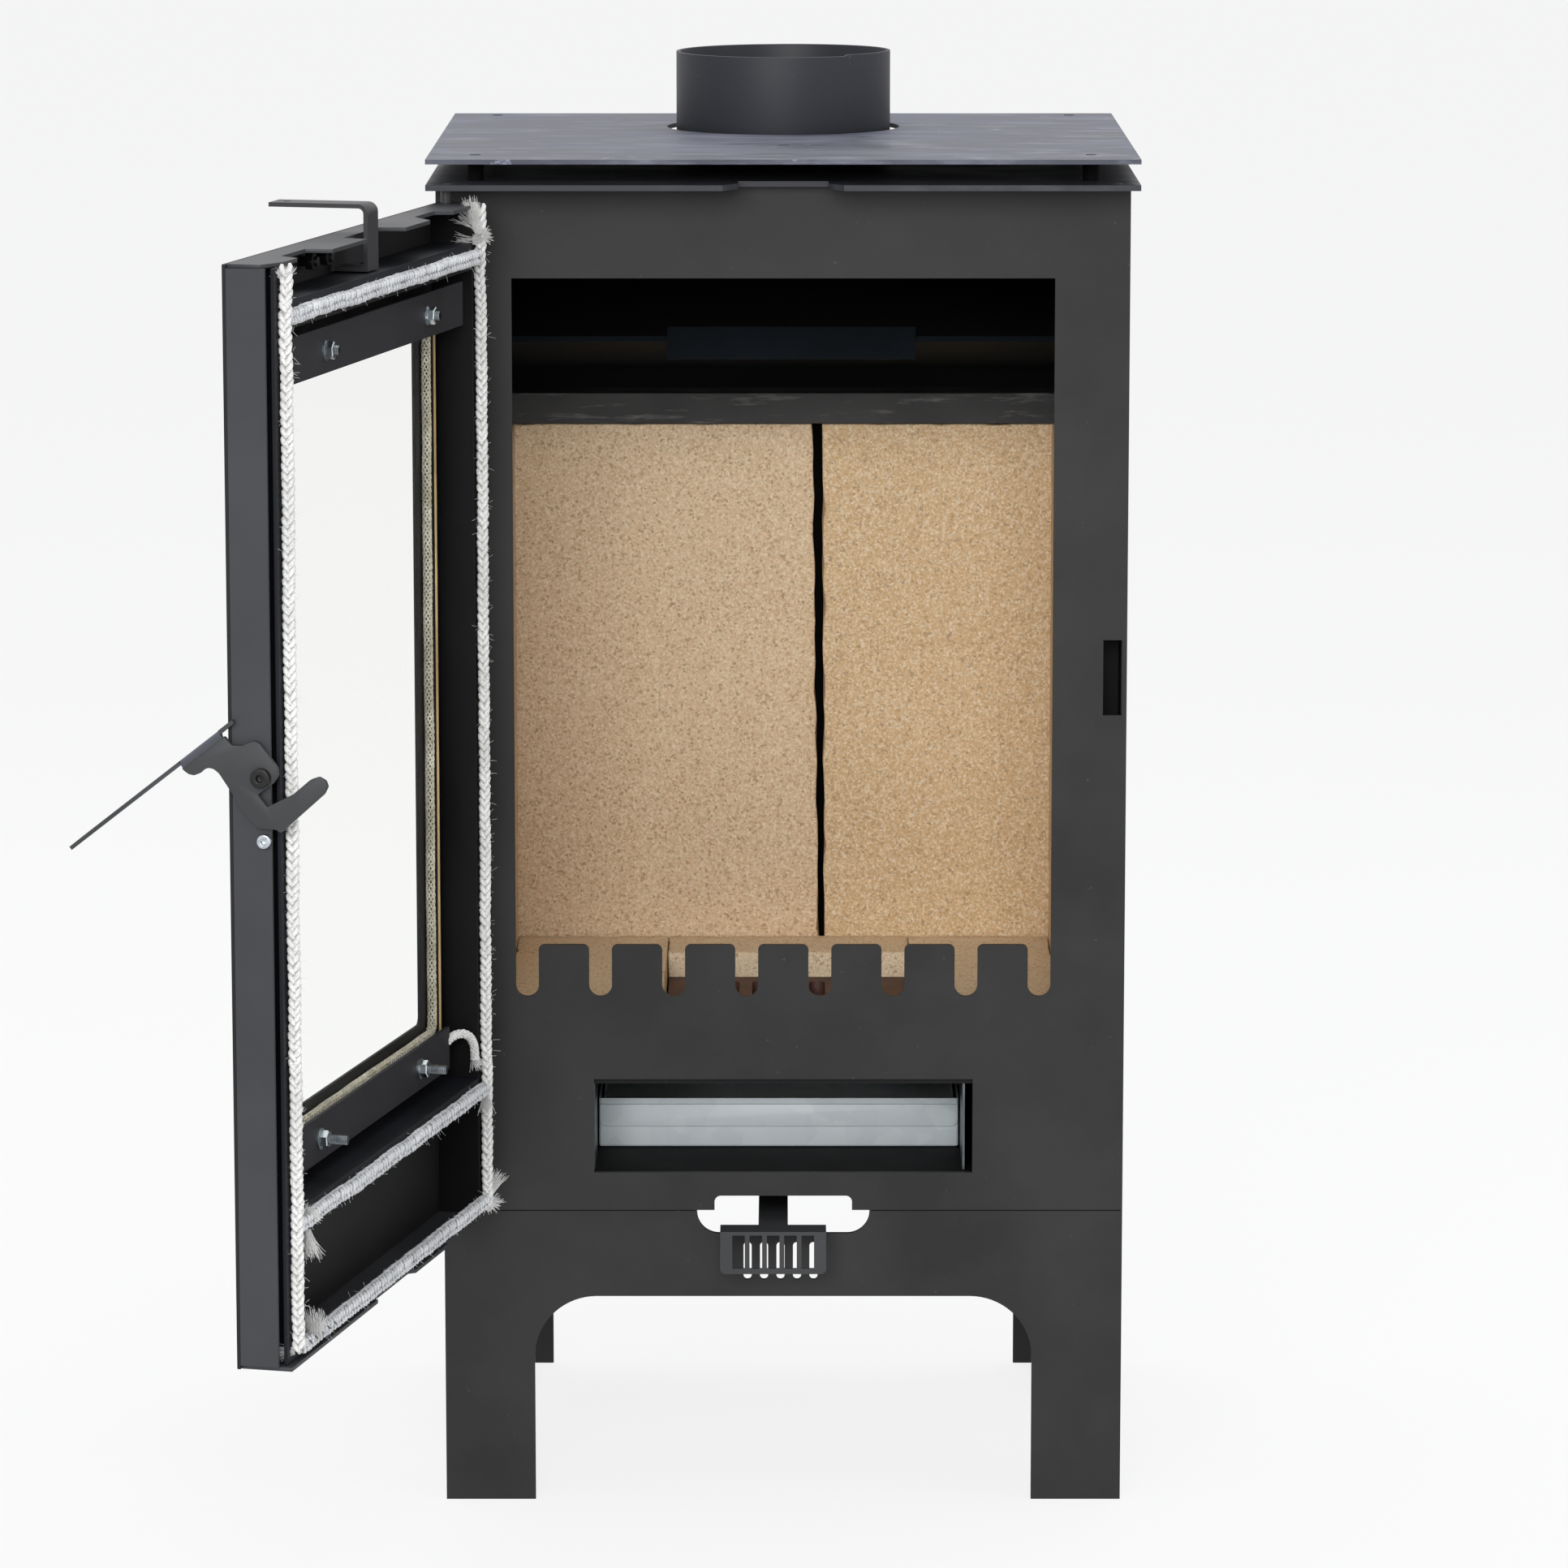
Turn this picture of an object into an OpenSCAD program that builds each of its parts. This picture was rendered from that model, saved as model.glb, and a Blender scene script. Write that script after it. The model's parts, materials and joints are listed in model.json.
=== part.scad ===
// Small free-standing wood stove in folded sheet steel, shown with its glass door open.
// Millimetres, Z up. The origin is on the floor, at the centre of the stand's footprint;
// the front faces -Y. Door parts are drawn on the shut door and then swung to its open place.

/* [Body] */
// Width of the firebox casing
body_w = 370; // [350:2:400]
// Depth of the firebox casing
body_d = 296; // [280:2:340]
// Height of the stand's top edge, where the casing starts
stand_h = 163; // [150:1:200]
// Height of the casing above the stand
body_h = 559; // [540:1:620]
// Thickness of the casing sheet
sheet_t = 3; // [2:0.5:4]

/* [Fire opening] */
// Width of the fire opening
fire_w = 290; // [270:2:296]
// Lower end of the fire opening, at the tips of the log comb
fire_z = 310.5; // [300:0.5:330]
// Height of the fire opening above the comb
fire_h = 362; // [340:1:366]
// Teeth of the log comb
tooth_count = 7; // [5:1:8]
// Width of a slot between two teeth
slot_w = 12.4; // [8:0.1:14]
// Depth of the slots
slot_h = 28.6; // [20:0.1:32]

/* [Ash opening] */
// Width of the ash opening
ash_w = 206; // [190:1:220]
// Bottom of the ash opening, level with the ash floor
ash_z = 184; // [182:1:188]
// Height of the ash opening
ash_h = 52; // [46:1:53]

/* [Top plates] */
// How far both top plates stand out in front of the casing
top_front = 36; // [34:1:44]
// How far both top plates stand out at each side
top_side = 3.5; // [2:0.5:10]
// How far both top plates stand out at the back
top_back = 2; // [0:0.5:12]
// Thickness of the lower top plate
lower_t = 3; // [2:0.5:5]
// Air gap between the two top plates
top_gap = 11; // [9:0.5:20]
// Thickness of the upper top plate
upper_t = 2.5; // [2:0.5:4]
// Diameter of the round spacers between the top plates
spacer_d = 9; // [7:0.5:12]

/* [Flue collar] */
// Outer diameter of the flue collar
collar_d = 120; // [100:1:130]
// Wall of the flue collar
collar_t = 2; // [1.5:0.5:3]
// Height of the flue collar above the upper top plate
collar_h = 43; // [35:1:80]
// Distance from the casing's front face to the middle of the collar
collar_y = 200; // [180:1:210]
// Air gap round the collar in the upper top plate
collar_gap = 5; // [3:0.5:8]

/* [Stand] */
// Width of a leg, seen from each side
leg_w = 49; // [40:1:60]
// Height of the arch between the legs
arch_h = 114.7; // [100:0.1:120]
// Radius of the arch's upper corners
arch_r = 34; // [20:1:40]

/* [Door] */
// Angle at which the door stands open
door_open = 104; // [80:1:110]
// Distance of the hinge axis from the casing's left side
hinge_x = 7; // [6:0.5:9]
// Distance of the hinge axis in front of the casing
hinge_y = 26; // [25:0.5:28]
// Diameter of the hinge pins
pin_d = 6; // [5:0.5:7]
// Room round the hinge pins, on the radius
pin_fit = 0.06; // [0.04:0.01:0.1]
// Gap between the door and what it hangs between, above and below
door_gap = 3; // [2:0.5:6]
// Width of the door
door_w = 358; // [340:1:364]
// Distance from the hinge axis to the outer face of the door's front sheet
door_front = 6; // [4.5:0.5:7]
// Depth of the door's folded edges, front sheet included
door_edge = 21.5; // [18:0.5:22]
// Thickness of the door sheet
door_t = 2; // [1.5:0.5:2.5]
// Thickness of the seal ropes
rope_d = 7; // [6:0.5:9]
// Room between a seal rope and the casing when the door is shut
rope_gap = 0.3; // [0.2:0.1:0.6]

/* [Window] */
// Distance from the door's edge to the window on each side
window_side = 54; // [50:1:70]
// Lower edge of the window
window_z = 282; // [276:1:300]
// Upper edge of the window
window_top = 655; // [600:1:660]
// Thickness of the glass
glass_t = 4; // [3:0.5:5]
// Thickness of the glass rope
glass_rope_d = 5.5; // [4:0.5:6]
// How far the glass reaches past the window on each side
glass_lap = 14; // [12:0.5:16]
// Distance between the two studs of a glass clip
stud_pitch = 171; // [150:1:200]
// Diameter of the studs
stud_d = 5; // [4:0.5:6]

/* [Latch] */
// Height of the latch pivot
latch_z = 467; // [440:1:480]
// Thickness of the latch handle plate
latch_t = 3; // [2:0.5:4]
// Length of the handle blade
blade_l = 107; // [80:1:130]
// Width of the handle blade
blade_w = 25; // [15:1:35]
// Height of the latch slot in the casing
latch_slot_h = 41; // [40:0.5:46]
// Width of the latch slot in the casing
latch_slot_w = 10.2; // [9:0.2:12]

/* [Air controls] */
// Length of the airwash lever's level arm
lever_l = 52; // [35:1:70]
// Width of the lever strip
lever_w = 18; // [12:0.5:22]
// Thickness of the lever strip
lever_t = 2.2; // [1.5:0.1:2.5]
// Width of the primary air pull
pull_w = 57.6; // [50:0.2:64]
// Height of the primary air pull
pull_h = 23.5; // [18:0.5:26]
// Width of the primary air tongue
tongue_w = 16; // [12:0.5:20]

/* [Fire bricks] */
// Thickness of the side and base bricks
brick_t = 28; // [22:1:30]
// Thickness of the back bricks
back_brick_t = 30; // [22:1:32]
// Height of the upright bricks
brick_h = 327; // [300:1:335]
// Gap between the two back bricks
brick_gap = 4.5; // [2:0.5:8]
// Distance of that gap from the middle
brick_joint_x = 21; // [0:1:40]
// Width of the grate
grate_w = 138; // [120:2:160]
// Length of the grate
grate_l = 160; // [140:2:170]
// Thickness of the grate
grate_t = 14; // [10:0.5:18]

/* [Ash pan] */
// Width of the ash pan
pan_w = 199; // [180:0.5:199]
// Depth of the ash pan
pan_l = 180; // [160:1:200]
// Height of the ash pan
pan_h = 27.5; // [20:0.5:40]
// Distance from the casing's front face to the pan's front
pan_y = 62; // [40:1:70]
// Sheet of the ash pan
pan_t = 1; // [0.8:0.1:1.5]

/* [Hidden] */
$fn = 64;
front = -body_d/2;              // outer face of the casing's front plate
back = body_d/2;
inner_x = body_w/2 - sheet_t;   // inner face of a side plate
inner_front = front + sheet_t;
inner_back = back - sheet_t;
body_top = stand_h + body_h;
lower_top = body_top + lower_t; // upper face of the lower top plate
upper_z = lower_top + top_gap;
upper_top = upper_z + upper_t;
top_w = body_w + 2*top_side;
top_d = body_d + top_front + top_back;
top_mid_y = (top_back - top_front)/2;
flue_y = front + collar_y;
weld = 0.2;                     // room left between plates that are welded together
cut = 1;                        // extra depth of a cutter on each side
floor_t = sheet_t;
floor_z = ash_z - floor_t;      // the ash floor is level with the ash opening
shelf_z = ash_z + ash_h - sheet_t;
brick_z = shelf_z + sheet_t;    // bricks stand on the firebed shelf
side_face = inner_x - brick_t;  // inner face of the side bricks
brick_back = inner_back - back_brick_t;
brick_top = brick_z + brick_h;

hinge = [-body_w/2 + hinge_x, front - hinge_y];
door_left = -6;                 // the door's hinge edge, from the hinge axis
door_right = door_left + door_w;
door_mid = (door_left + door_right)/2;
window_w = door_w - 2*window_side;
hinge_lug_t = 3;
door_z = stand_h + 1 + hinge_lug_t + door_gap;
door_top = body_top - door_gap - 4;
skin = -door_front;             // outer face of the door's front sheet
skin_in = skin + door_t;
edge_v = skin + door_edge;      // where the folded edges end
rope_v = hinge_y - rope_gap - rope_d/2;
seat_v = rope_v - rope_d/2 - 0.1;
seat_w = 19;                    // width of the upright strips that carry the seal ropes
seat_h = 14;                    // height of the level channel under the top rope
cap_tab = 22;                   // depth of the door caps at their tabs,
cap_gap = 8.5;                  // in the gaps of the upper cap
cap_end = 18;                   // and at the hinge
rope_left = 10.5;
rope_right = door_right - 13;
rope_high = fire_z + fire_h + 16;
rope_mid = ash_z + ash_h + rope_d/2 + 1;
rope_low = ash_z - rope_d/2 - 2;
glass_v = skin_in + glass_rope_d + 0.1;
clip_v = glass_v + glass_t + 0.3;
clip_t = 2;
clip_h = 23;
clip_low_z = window_z - clip_h - 4;
clip_low_l = window_w + 30;
clip_high_z = window_top - 2;   // the upper clip stands off the glass and steers the air
clip_high_l = window_w + 50;
clip_stand_off = 7.7;
glass_z = window_z - glass_lap;
glass_top = window_top + glass_lap;
ring_out = 9;                   // the glass rope runs this far outside the window
slide_z = rope_high + seat_h/2 + 0.8;
lever_u = -hinge[0];            // the lever is in the middle of the stove when the door is shut
lever_v = 15.4;                 // back of the lever's upright part
lever_bend = 5;                 // outer radius of its bends
notch_w = 48;                   // notch in the lower top plate for the airwash lever
notch_flare = 8;
notch_back = top_front - 9;     // it ends this far behind the plate's front edge
pull_drop = 7;                  // the tongue lies this far below the casing
air_hole_d = 20;
air_holes = [-56, 0, 56];       // shut when the shutter has moved by half their spacing
shutter_w = air_holes[2] - air_holes[0] + air_hole_d + 14;
shutter_y = front + 110;
shutter_z = floor_z - 0.3 - 2;  // the shutter slides just under the ash floor
tongue_z = stand_h - pull_drop - 2;
tongue_x = -5.5;
latch_u = door_right + 0.5;
latch_v = 12.2;
stop_drop = 31.6;               // the latch stop screw sits this far below the pivot
stop_v = latch_v + 0.4;
bolt_d = 6;                     // pivot bolt
stop_d = 4;
slot_x = hinge[0] + latch_u + latch_t/2 + 1.3;
pan_mid = -2.5;
pan_room = 0.8;
guide_t = 1.2;

// ---- shared shapes -------------------------------------------------------------------------

// A block between two corners
module block(low, high) {
    translate(low) cube(high - low);
}

// A flat outline in X and Z, made a sheet that starts at depth y
module upright_sheet(y, t) {
    translate([0, y + t, 0]) rotate([90, 0, 0]) linear_extrude(t) children();
}

// A rectangle with round corners, from its low corner to its high one
module round_rect(low, high, r) {
    translate(low + [r, 0]) square([high[0] - low[0] - 2*r, high[1] - low[1]]);
    translate(low + [0, r]) square([high[0] - low[0], high[1] - low[1] - 2*r]);
    for (x = [low[0] + r, high[0] - r], y = [low[1] + r, high[1] - r])
        translate([x, y]) circle(r);
}

// Moves what is drawn on the shut door to the open door: u runs from the hinge axis along
// the door, v from the hinge axis towards the casing
module on_door() {
    translate([hinge[0], hinge[1], 0]) rotate([0, 0, -door_open]) children();
}

// ---- casing --------------------------------------------------------------------------------

// Log comb: the fire opening's lower edge with rounded teeth
module fire_opening() {
    tooth_w = (fire_w - (tooth_count + 1)*slot_w)/tooth_count;
    tooth_r = 3.2;
    translate([-fire_w/2, fire_z]) square([fire_w, fire_h]);
    for (i = [0:tooth_count]) {
        x = -fire_w/2 + i*(slot_w + tooth_w);
        translate([x, fire_z - slot_h + slot_w/2]) square([slot_w, slot_h]);
        translate([x + slot_w/2, fire_z - slot_h + slot_w/2]) circle(slot_w/2);
        for (side = [-1, 1])
            if ((i > 0 || side > 0) && (i < tooth_count || side < 0))
                translate([x + slot_w/2 + side*(slot_w/2 + tooth_r), fire_z - tooth_r])
                    difference() {
                        translate([side > 0 ? -tooth_r : 0, 0]) square(tooth_r);
                        circle(tooth_r);
                    }
    }
}

// Shallow notch in the casing's lower edge, where the primary air tongue passes
module casing_notch() {
    round_rect([-37.5, stand_h - 6], [37.5, stand_h + 8], 3.5);
}

module front_plate() color("#3c3c3d") upright_sheet(front, sheet_t) difference() {
    translate([-body_w/2, stand_h]) square([body_w, body_h - weld]);
    fire_opening();
    translate([-ash_w/2, ash_z]) square([ash_w, ash_h]);
    translate([slot_x - latch_slot_w/2, latch_z + 10.5 - latch_slot_h])
        square([latch_slot_w, latch_slot_h]);
    casing_notch();
}

module side_plate(side) color("#38383a") mirror([side > 0 ? 0 : 1, 0, 0])
    block([inner_x, inner_front + weld, stand_h],
        [body_w/2, inner_back - weld, body_top - weld]);
module left_side_plate() side_plate(-1);
module right_side_plate() side_plate(1);

module back_plate() color("#38383a")
    block([-body_w/2, inner_back, stand_h], [body_w/2, back, body_top - weld]);

// Floor under the ash pan, with primary air holes over the shutter
module ash_floor() color("#242425") difference() {
    block([-inner_x + weld, inner_front + weld, floor_z],
        [inner_x - weld, inner_back - weld, floor_z + floor_t]);
    for (x = air_holes) translate([x, shutter_y, floor_z - cut])
        cylinder(d = air_hole_d, h = floor_t + 2*cut);
}

// Shelf that carries the bricks and the grate; ash falls through its opening
module firebed_shelf() color("#242425") difference() {
    block([-inner_x + weld, inner_front + weld, shelf_z],
        [inner_x - weld, inner_back - weld, shelf_z + sheet_t]);
    block([-grate_w/2 + 12, grate_front() + 12, shelf_z - cut],
        [grate_w/2 - 6, grate_front() + grate_l - 12, brick_z + cut]);
}

// Both top plates share one outline
module top_outline() {
    translate([-top_w/2, front - top_front]) square([top_w, top_d]);
}

module lower_top_plate() color("#4a4b50") difference() {
    translate([0, 0, body_top]) linear_extrude(lower_t) difference() {
        top_outline();
        // notch for the airwash lever, flared at the front edge
        polygon([[-notch_w/2 - notch_flare, front - top_front - cut],
            [-notch_w/2 - notch_flare, front - top_front],
            [-notch_w/2, front - top_front + 12], [-notch_w/2, front - top_front + notch_back],
            [notch_w/2, front - top_front + notch_back], [notch_w/2, front - top_front + 12],
            [notch_w/2 + notch_flare, front - top_front],
            [notch_w/2 + notch_flare, front - top_front - cut]]);
    }
    for (side = [-1, 1])
        translate([side*hinge[0], hinge[1], body_top - cut])
            cylinder(d = pin_d + 2*pin_fit, h = lower_t + 2*cut);
    translate([0, flue_y, body_top - cut])
        cylinder(d = collar_d - 2*collar_t, h = lower_t + 2*cut, $fn = 128);
}

module upper_top_plate() color("#6b6c74") difference() {
    translate([0, 0, upper_z]) linear_extrude(upper_t) top_outline();
    translate([0, flue_y, upper_z - cut])
        cylinder(d = collar_d + 2*collar_gap, h = upper_t + 2*cut, $fn = 128);
    for (p = spacer_places())
        translate([p[0], p[1], upper_z - cut]) cylinder(d = spacer_d - 3, h = upper_t + 2*cut);
}

// Five spacers: one near each corner and one behind the front edge
function spacer_places() = [for (x = [-top_w/2 + 25, top_w/2 - 25],
    y = [front - top_front + 33, back + top_back - 15]) [x, y],
    [0, front - top_front + 98]];

module top_spacers() color("#2c2c2d") for (p = spacer_places())
    translate([p[0], p[1], lower_top]) difference() {
        cylinder(d = spacer_d, h = top_gap);
        translate([0, 0, 2]) cylinder(d = 4, h = top_gap);
    }

// Countersunk screws, flush with the upper plate
module spacer_screws() color("#5a5b62") for (p = spacer_places())
    translate([p[0], p[1], lower_top + 2.2]) {
        cylinder(d = 3.8, h = top_gap - 2);
        translate([0, 0, top_gap - 2]) cylinder(d = spacer_d - 3.3, h = upper_t);
    }

module flue_collar() color("#3f4046") translate([0, flue_y, lower_top]) difference() {
    cylinder(d = collar_d, h = top_gap + upper_t + collar_h, $fn = 128);
    translate([0, 0, -cut])
        cylinder(d = collar_d - 2*collar_t, h = top_gap + upper_t + collar_h + 2*cut, $fn = 128);
}

// ---- stand ---------------------------------------------------------------------------------

// Arch between two legs: straight sides with large upper corners
module arch(width) {
    translate([-width/2, -cut]) square([width, arch_h - arch_r + cut]);
    translate([-width/2 + arch_r, 0]) square([width - 2*arch_r, arch_h]);
    for (side = [-1, 1]) translate([side*(width/2 - arch_r), arch_h - arch_r]) circle(arch_r);
}

// Plain upright slots in the apron, and the notch for the primary air tongue
apron_slot_z = 124;
apron_slot = [4.4, 21];
module apron_cuts() {
    round_rect([-47, stand_h - 13], [47, stand_h + 14], 12);
    for (i = [-2:2]) translate([-1.5 + i*9, apron_slot_z])
        round_rect([-apron_slot[0]/2, 0], [apron_slot[0]/2, apron_slot[1]], 2);
}

module stand_front() color("#3c3c3d") upright_sheet(front, sheet_t) difference() {
    translate([-body_w/2, 0]) square([body_w, stand_h - weld]);
    arch(body_w - 2*leg_w);
    apron_cuts();
}

module stand_rear() color("#3c3c3d") upright_sheet(inner_back, sheet_t) difference() {
    translate([-body_w/2, 0]) square([body_w, stand_h - weld]);
    arch(body_w - 2*leg_w);
}

module stand_side(side) color("#38383a") mirror([side > 0 ? 0 : 1, 0, 0])
    translate([inner_x, 0, 0]) rotate([90, 0, 90]) linear_extrude(sheet_t) difference() {
        translate([inner_front + weld, 0])
            square([body_d - 2*sheet_t - 2*weld, stand_h - weld]);
        arch(body_d - 2*leg_w);
    }
module stand_left() stand_side(-1);
module stand_right() stand_side(1);

// Lug under the door, with the hole for the lower hinge pin
module lower_hinge_lug() color("#38383a") translate([0, 0, stand_h + 1]) difference() {
    linear_extrude(hinge_lug_t) {
        translate([hinge[0], hinge[1]]) circle(6.5);
        translate([hinge[0] - 6.5, hinge[1]]) square([13, hinge_y - weld]);
    }
    translate([hinge[0], hinge[1], -cut])
        cylinder(d = pin_d + 2*pin_fit, h = hinge_lug_t + 2*cut);
}

// ---- fire bricks, grate and baffle -----------------------------------------------------------

function grate_front() = brick_back - 52 - grate_l;
grate_x = 3;
joint = 0.6;                    // hairline joint between bricks
hook_room = 30;                 // the side bricks start this far behind the front
retainer_t = 2;

module back_brick_left() color("#b49a78")
    block([-inner_x + joint, brick_back, brick_z],
        [brick_joint_x - brick_gap/2, inner_back - joint, brick_top]);
module back_brick_right() color("#b49a78")
    block([brick_joint_x + brick_gap/2, brick_back, brick_z],
        [inner_x - joint, inner_back - joint, brick_top]);

// The side bricks start behind the latch hook
module side_brick(side) color("#b49a78") mirror([side > 0 ? 0 : 1, 0, 0])
    block([side_face, front + hook_room, brick_z],
        [inner_x - joint, brick_back - joint, brick_top]);
module side_brick_left() side_brick(-1);
module side_brick_right() side_brick(1);

module base_brick(low, high) color("#bba27f")
    block([low[0], low[1], brick_z], [high[0], high[1], brick_z + brick_t]);
module base_brick_left()
    base_brick([-side_face + joint, inner_front + 2],
        [grate_x - grate_w/2 - joint, brick_back - joint]);
module base_brick_right()
    base_brick([grate_x + grate_w/2 + joint, inner_front + 2],
        [side_face - joint, brick_back - joint]);
module base_brick_rear()
    base_brick([grate_x - grate_w/2, grate_front() + grate_l + joint],
        [grate_x + grate_w/2, brick_back - joint]);
module base_brick_front()
    base_brick([grate_x - grate_w/2, inner_front + 2],
        [grate_x + grate_w/2, grate_front() - joint]);

// Cast grate with long slots in three rows
module grate() color("#5b4238") translate([grate_x, 0, brick_z]) difference() {
    block([-grate_w/2 + joint, grate_front(), 0], [grate_w/2 - joint, grate_front() + grate_l,
        grate_t]);
    slot_l = (grate_l - 40)/3;
    for (i = [-3:3], row = [0:2])
        translate([i*(grate_w - 18)/7.4, grate_front() + 12 + row*(slot_l + 8), -cut])
            linear_extrude(grate_t + 2*cut) round_rect([-4.5, 0], [4.5, slot_l], 4.4);
}

// Folded rail that holds the back bricks down
module brick_rail() color("#2a2a2b") {
    block([-inner_x + joint, brick_back - 1, brick_top + 0.4],
        [inner_x - joint, brick_back + 1, brick_top + 18]);
    block([-inner_x + joint, brick_back + 1, brick_top + 16],
        [inner_x - joint, inner_back - weld, brick_top + 18]);
}

// Upright strips in front of the side bricks, welded to the side plates
module brick_retainers() color("#1e1e1f") for (side = [-1, 1])
    mirror([side > 0 ? 0 : 1, 0, 0])
        block([side_face, front + hook_room - retainer_t - joint, brick_z],
            [inner_x - weld, front + hook_room - joint, brick_top]);

baffle_z = brick_top + 62;      // front edge of the baffle
baffle_front = front + 128;
baffle_l = body_d - 156;
baffle_t = 3;
tab_w = 137;                    // plain plate on the baffle's front edge
tab_x = 4.5;
rest_w = 14;                    // strips on the side plates that the baffle lies on
baffle_rise = 12;               // slope of the baffle in degrees, down to the back
module baffle_place()
    translate([0, baffle_front, baffle_z]) rotate([-baffle_rise, 0, 0]) children();
module baffle_plate() color("#1e1e1f") baffle_place()
    block([-inner_x + 3, 0, 0], [inner_x - 3, baffle_l, baffle_t]);
module baffle_tab() color("#1e1e1f") baffle_place()
    block([tab_x - tab_w/2, -2.2, -10], [tab_x + tab_w/2, -0.2, 8]);
module baffle_rests() color("#1e1e1f") baffle_place() for (side = [-1, 1])
    mirror([side > 0 ? 0 : 1, 0, 0])
        block([inner_x - rest_w, 10, -weld - baffle_t], [inner_x - weld, baffle_l - 10, -weld]);

// ---- ash pan and primary air -----------------------------------------------------------------

// Two thin upright sheets that steer the pan
module ash_guides() color("#3a3a3b") for (side = [-1, 1])
    translate([pan_mid + side*(pan_w/2 + pan_room + guide_t/2), 0, 0])
        block([-guide_t/2, front + 8, ash_z], [guide_t/2, inner_back - 30, shelf_z - weld]);

// Open tray of folded galvanised sheet, with a rolled lip
module ash_pan() color("#a9b0b2") translate([pan_mid, front + pan_y, ash_z + 0.2]) difference() {
    block([-pan_w/2, 0, 0], [pan_w/2, pan_l, pan_h]);
    block([-pan_w/2 + pan_t, pan_t, pan_t], [pan_w/2 - pan_t, pan_l - pan_t, pan_h - 3]);
    block([-pan_w/2 + 2.5, 2.5, pan_t], [pan_w/2 - 2.5, pan_l - 2.5, pan_h + cut]);
}

// Shutter, riser, tongue and folded pull, with a plain barred window
module primary_air_slider() color("#2e2e2f") {
    difference() {
        block([-shutter_w/2, shutter_y - 16, shutter_z],
            [shutter_w/2, shutter_y + 16, shutter_z + 2]);
        for (x = air_holes) translate([x, shutter_y, shutter_z - cut])
            cylinder(d = air_hole_d, h = 2 + 2*cut);
    }
    translate([tongue_x, 0, 0]) {
        block([-tongue_w/2, shutter_y - 12, tongue_z], [tongue_w/2, shutter_y - 10,
            shutter_z + 1]);
        block([-tongue_w/2, front - 12, tongue_z], [tongue_w/2, shutter_y - 10, tongue_z + 2]);
        block([-pull_w/2, front - 22, tongue_z], [pull_w/2, front - 5, tongue_z + 2]);
        upright_sheet(front - 22, 2) difference() {
            round_rect([-pull_w/2, tongue_z + 2 - pull_h], [pull_w/2, tongue_z + 5], 3);
            translate([-pull_w/2 - 1, tongue_z + 2]) square([pull_w + 2, 10]);
            for (i = [-2:2]) translate([i*9.4 - 3.4, tongue_z + 5 - pull_h])
                square([6.8, pull_h - 4]);
        }
    }
}

// Two rails, welded under the ash floor, that carry the shutter
module shutter_guides() color("#242425") for (side = [-1, 1])
    translate([0, shutter_y, 0]) mirror([0, side > 0 ? 0 : 1, 0]) {
        block([-90, 16.4, shutter_z - 0.3], [90, 18.4, floor_z - weld]);
        block([-90, 13.4, shutter_z - 2.3], [90, 18.4, shutter_z - 0.3]);
    }

// ---- door ----------------------------------------------------------------------------------

module door_skin() color("#3c3c3d") on_door() upright_sheet(skin, door_t) difference() {
    translate([door_left, door_z]) square([door_w, door_top - door_z]);
    round_rect([door_mid - window_w/2, window_z], [door_mid + window_w/2, window_top], 4);
}

// Caps of the door, with tabs between gaps. The upper cap's tabs reach over the seal ropes, and
// its middle gap is for the lever. The lower cap ends at the rope's strip between its tabs
module door_top_plate() color("#3a3a3b") on_door() difference() {
    translate([0, 0, door_top - door_t]) linear_extrude(door_t) polygon([
        [door_left, skin_in], [door_right - door_t, skin_in], [door_right - door_t, cap_end - 5],
        [door_right - 18, cap_end + 1.5], [door_right - 39, cap_end + 1.5],
        [door_right - 47, cap_gap], [door_mid + 94, cap_gap], [door_mid + 92, cap_tab],
        [door_mid + 36, cap_tab], [door_mid + 33, cap_gap], [door_mid - 27, cap_gap],
        [door_mid - 30, cap_tab], [door_mid - 72, cap_tab], [door_mid - 88, cap_gap],
        [50, cap_gap], [46, cap_end], [door_left, cap_end]]);
    translate([0, 0, door_top - door_t - cut]) cylinder(d = pin_d, h = door_t + 2*cut);
}

module door_bottom_plate() color("#3a3a3b") on_door() difference() {
    translate([0, 0, door_z]) linear_extrude(door_t) polygon([
        [door_left, skin_in], [door_right - door_t, skin_in], [door_right - door_t, cap_tab],
        [door_mid + 36, cap_tab], [door_mid + 33, seat_v], [door_mid - 27, seat_v],
        [door_mid - 30, cap_tab], [door_mid - 88, cap_tab], [door_mid - 91, seat_v],
        [30, seat_v], [27, cap_end - 4], [door_left, cap_end - 4]]);
    translate([0, 0, door_z - cut]) cylinder(d = pin_d, h = door_t + 2*cut);
}

module door_hinge_edge() color("#3a3a3b") on_door()
    block([door_left, skin_in, door_z + door_t], [door_left + door_t - 0.2, seat_v,
        door_top - door_t]);

module door_latch_edge() color("#47484a") on_door() difference() {
    block([door_right - door_t, skin_in, door_z + door_t], [door_right, edge_v,
        door_top - door_t]);
    translate([door_right - door_t - cut, latch_v, latch_z]) rotate([0, 90, 0])
        cylinder(d = bolt_d, h = door_t + 2*cut);
    translate([door_right - door_t - cut, stop_v, latch_z - stop_drop]) rotate([0, 90, 0])
        cylinder(d = stop_d, h = door_t + 2*cut);
}

// Upper pin reaches into the lower top plate, lower pin into the lug
module hinge_pins() color("#8a8c90") on_door() {
    translate([0, 0, door_top - 16]) cylinder(d = pin_d, h = lower_top - 0.5 - door_top + 16);
    translate([0, 0, stand_h + 1]) cylinder(d = pin_d, h = door_z + 16 - stand_h - 1);
    for (z = [door_top - door_t - 4.2, door_z + door_t + 0.2])
        translate([0, 0, z]) cylinder(d = pin_d + 1.6, h = 4);
}

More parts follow.
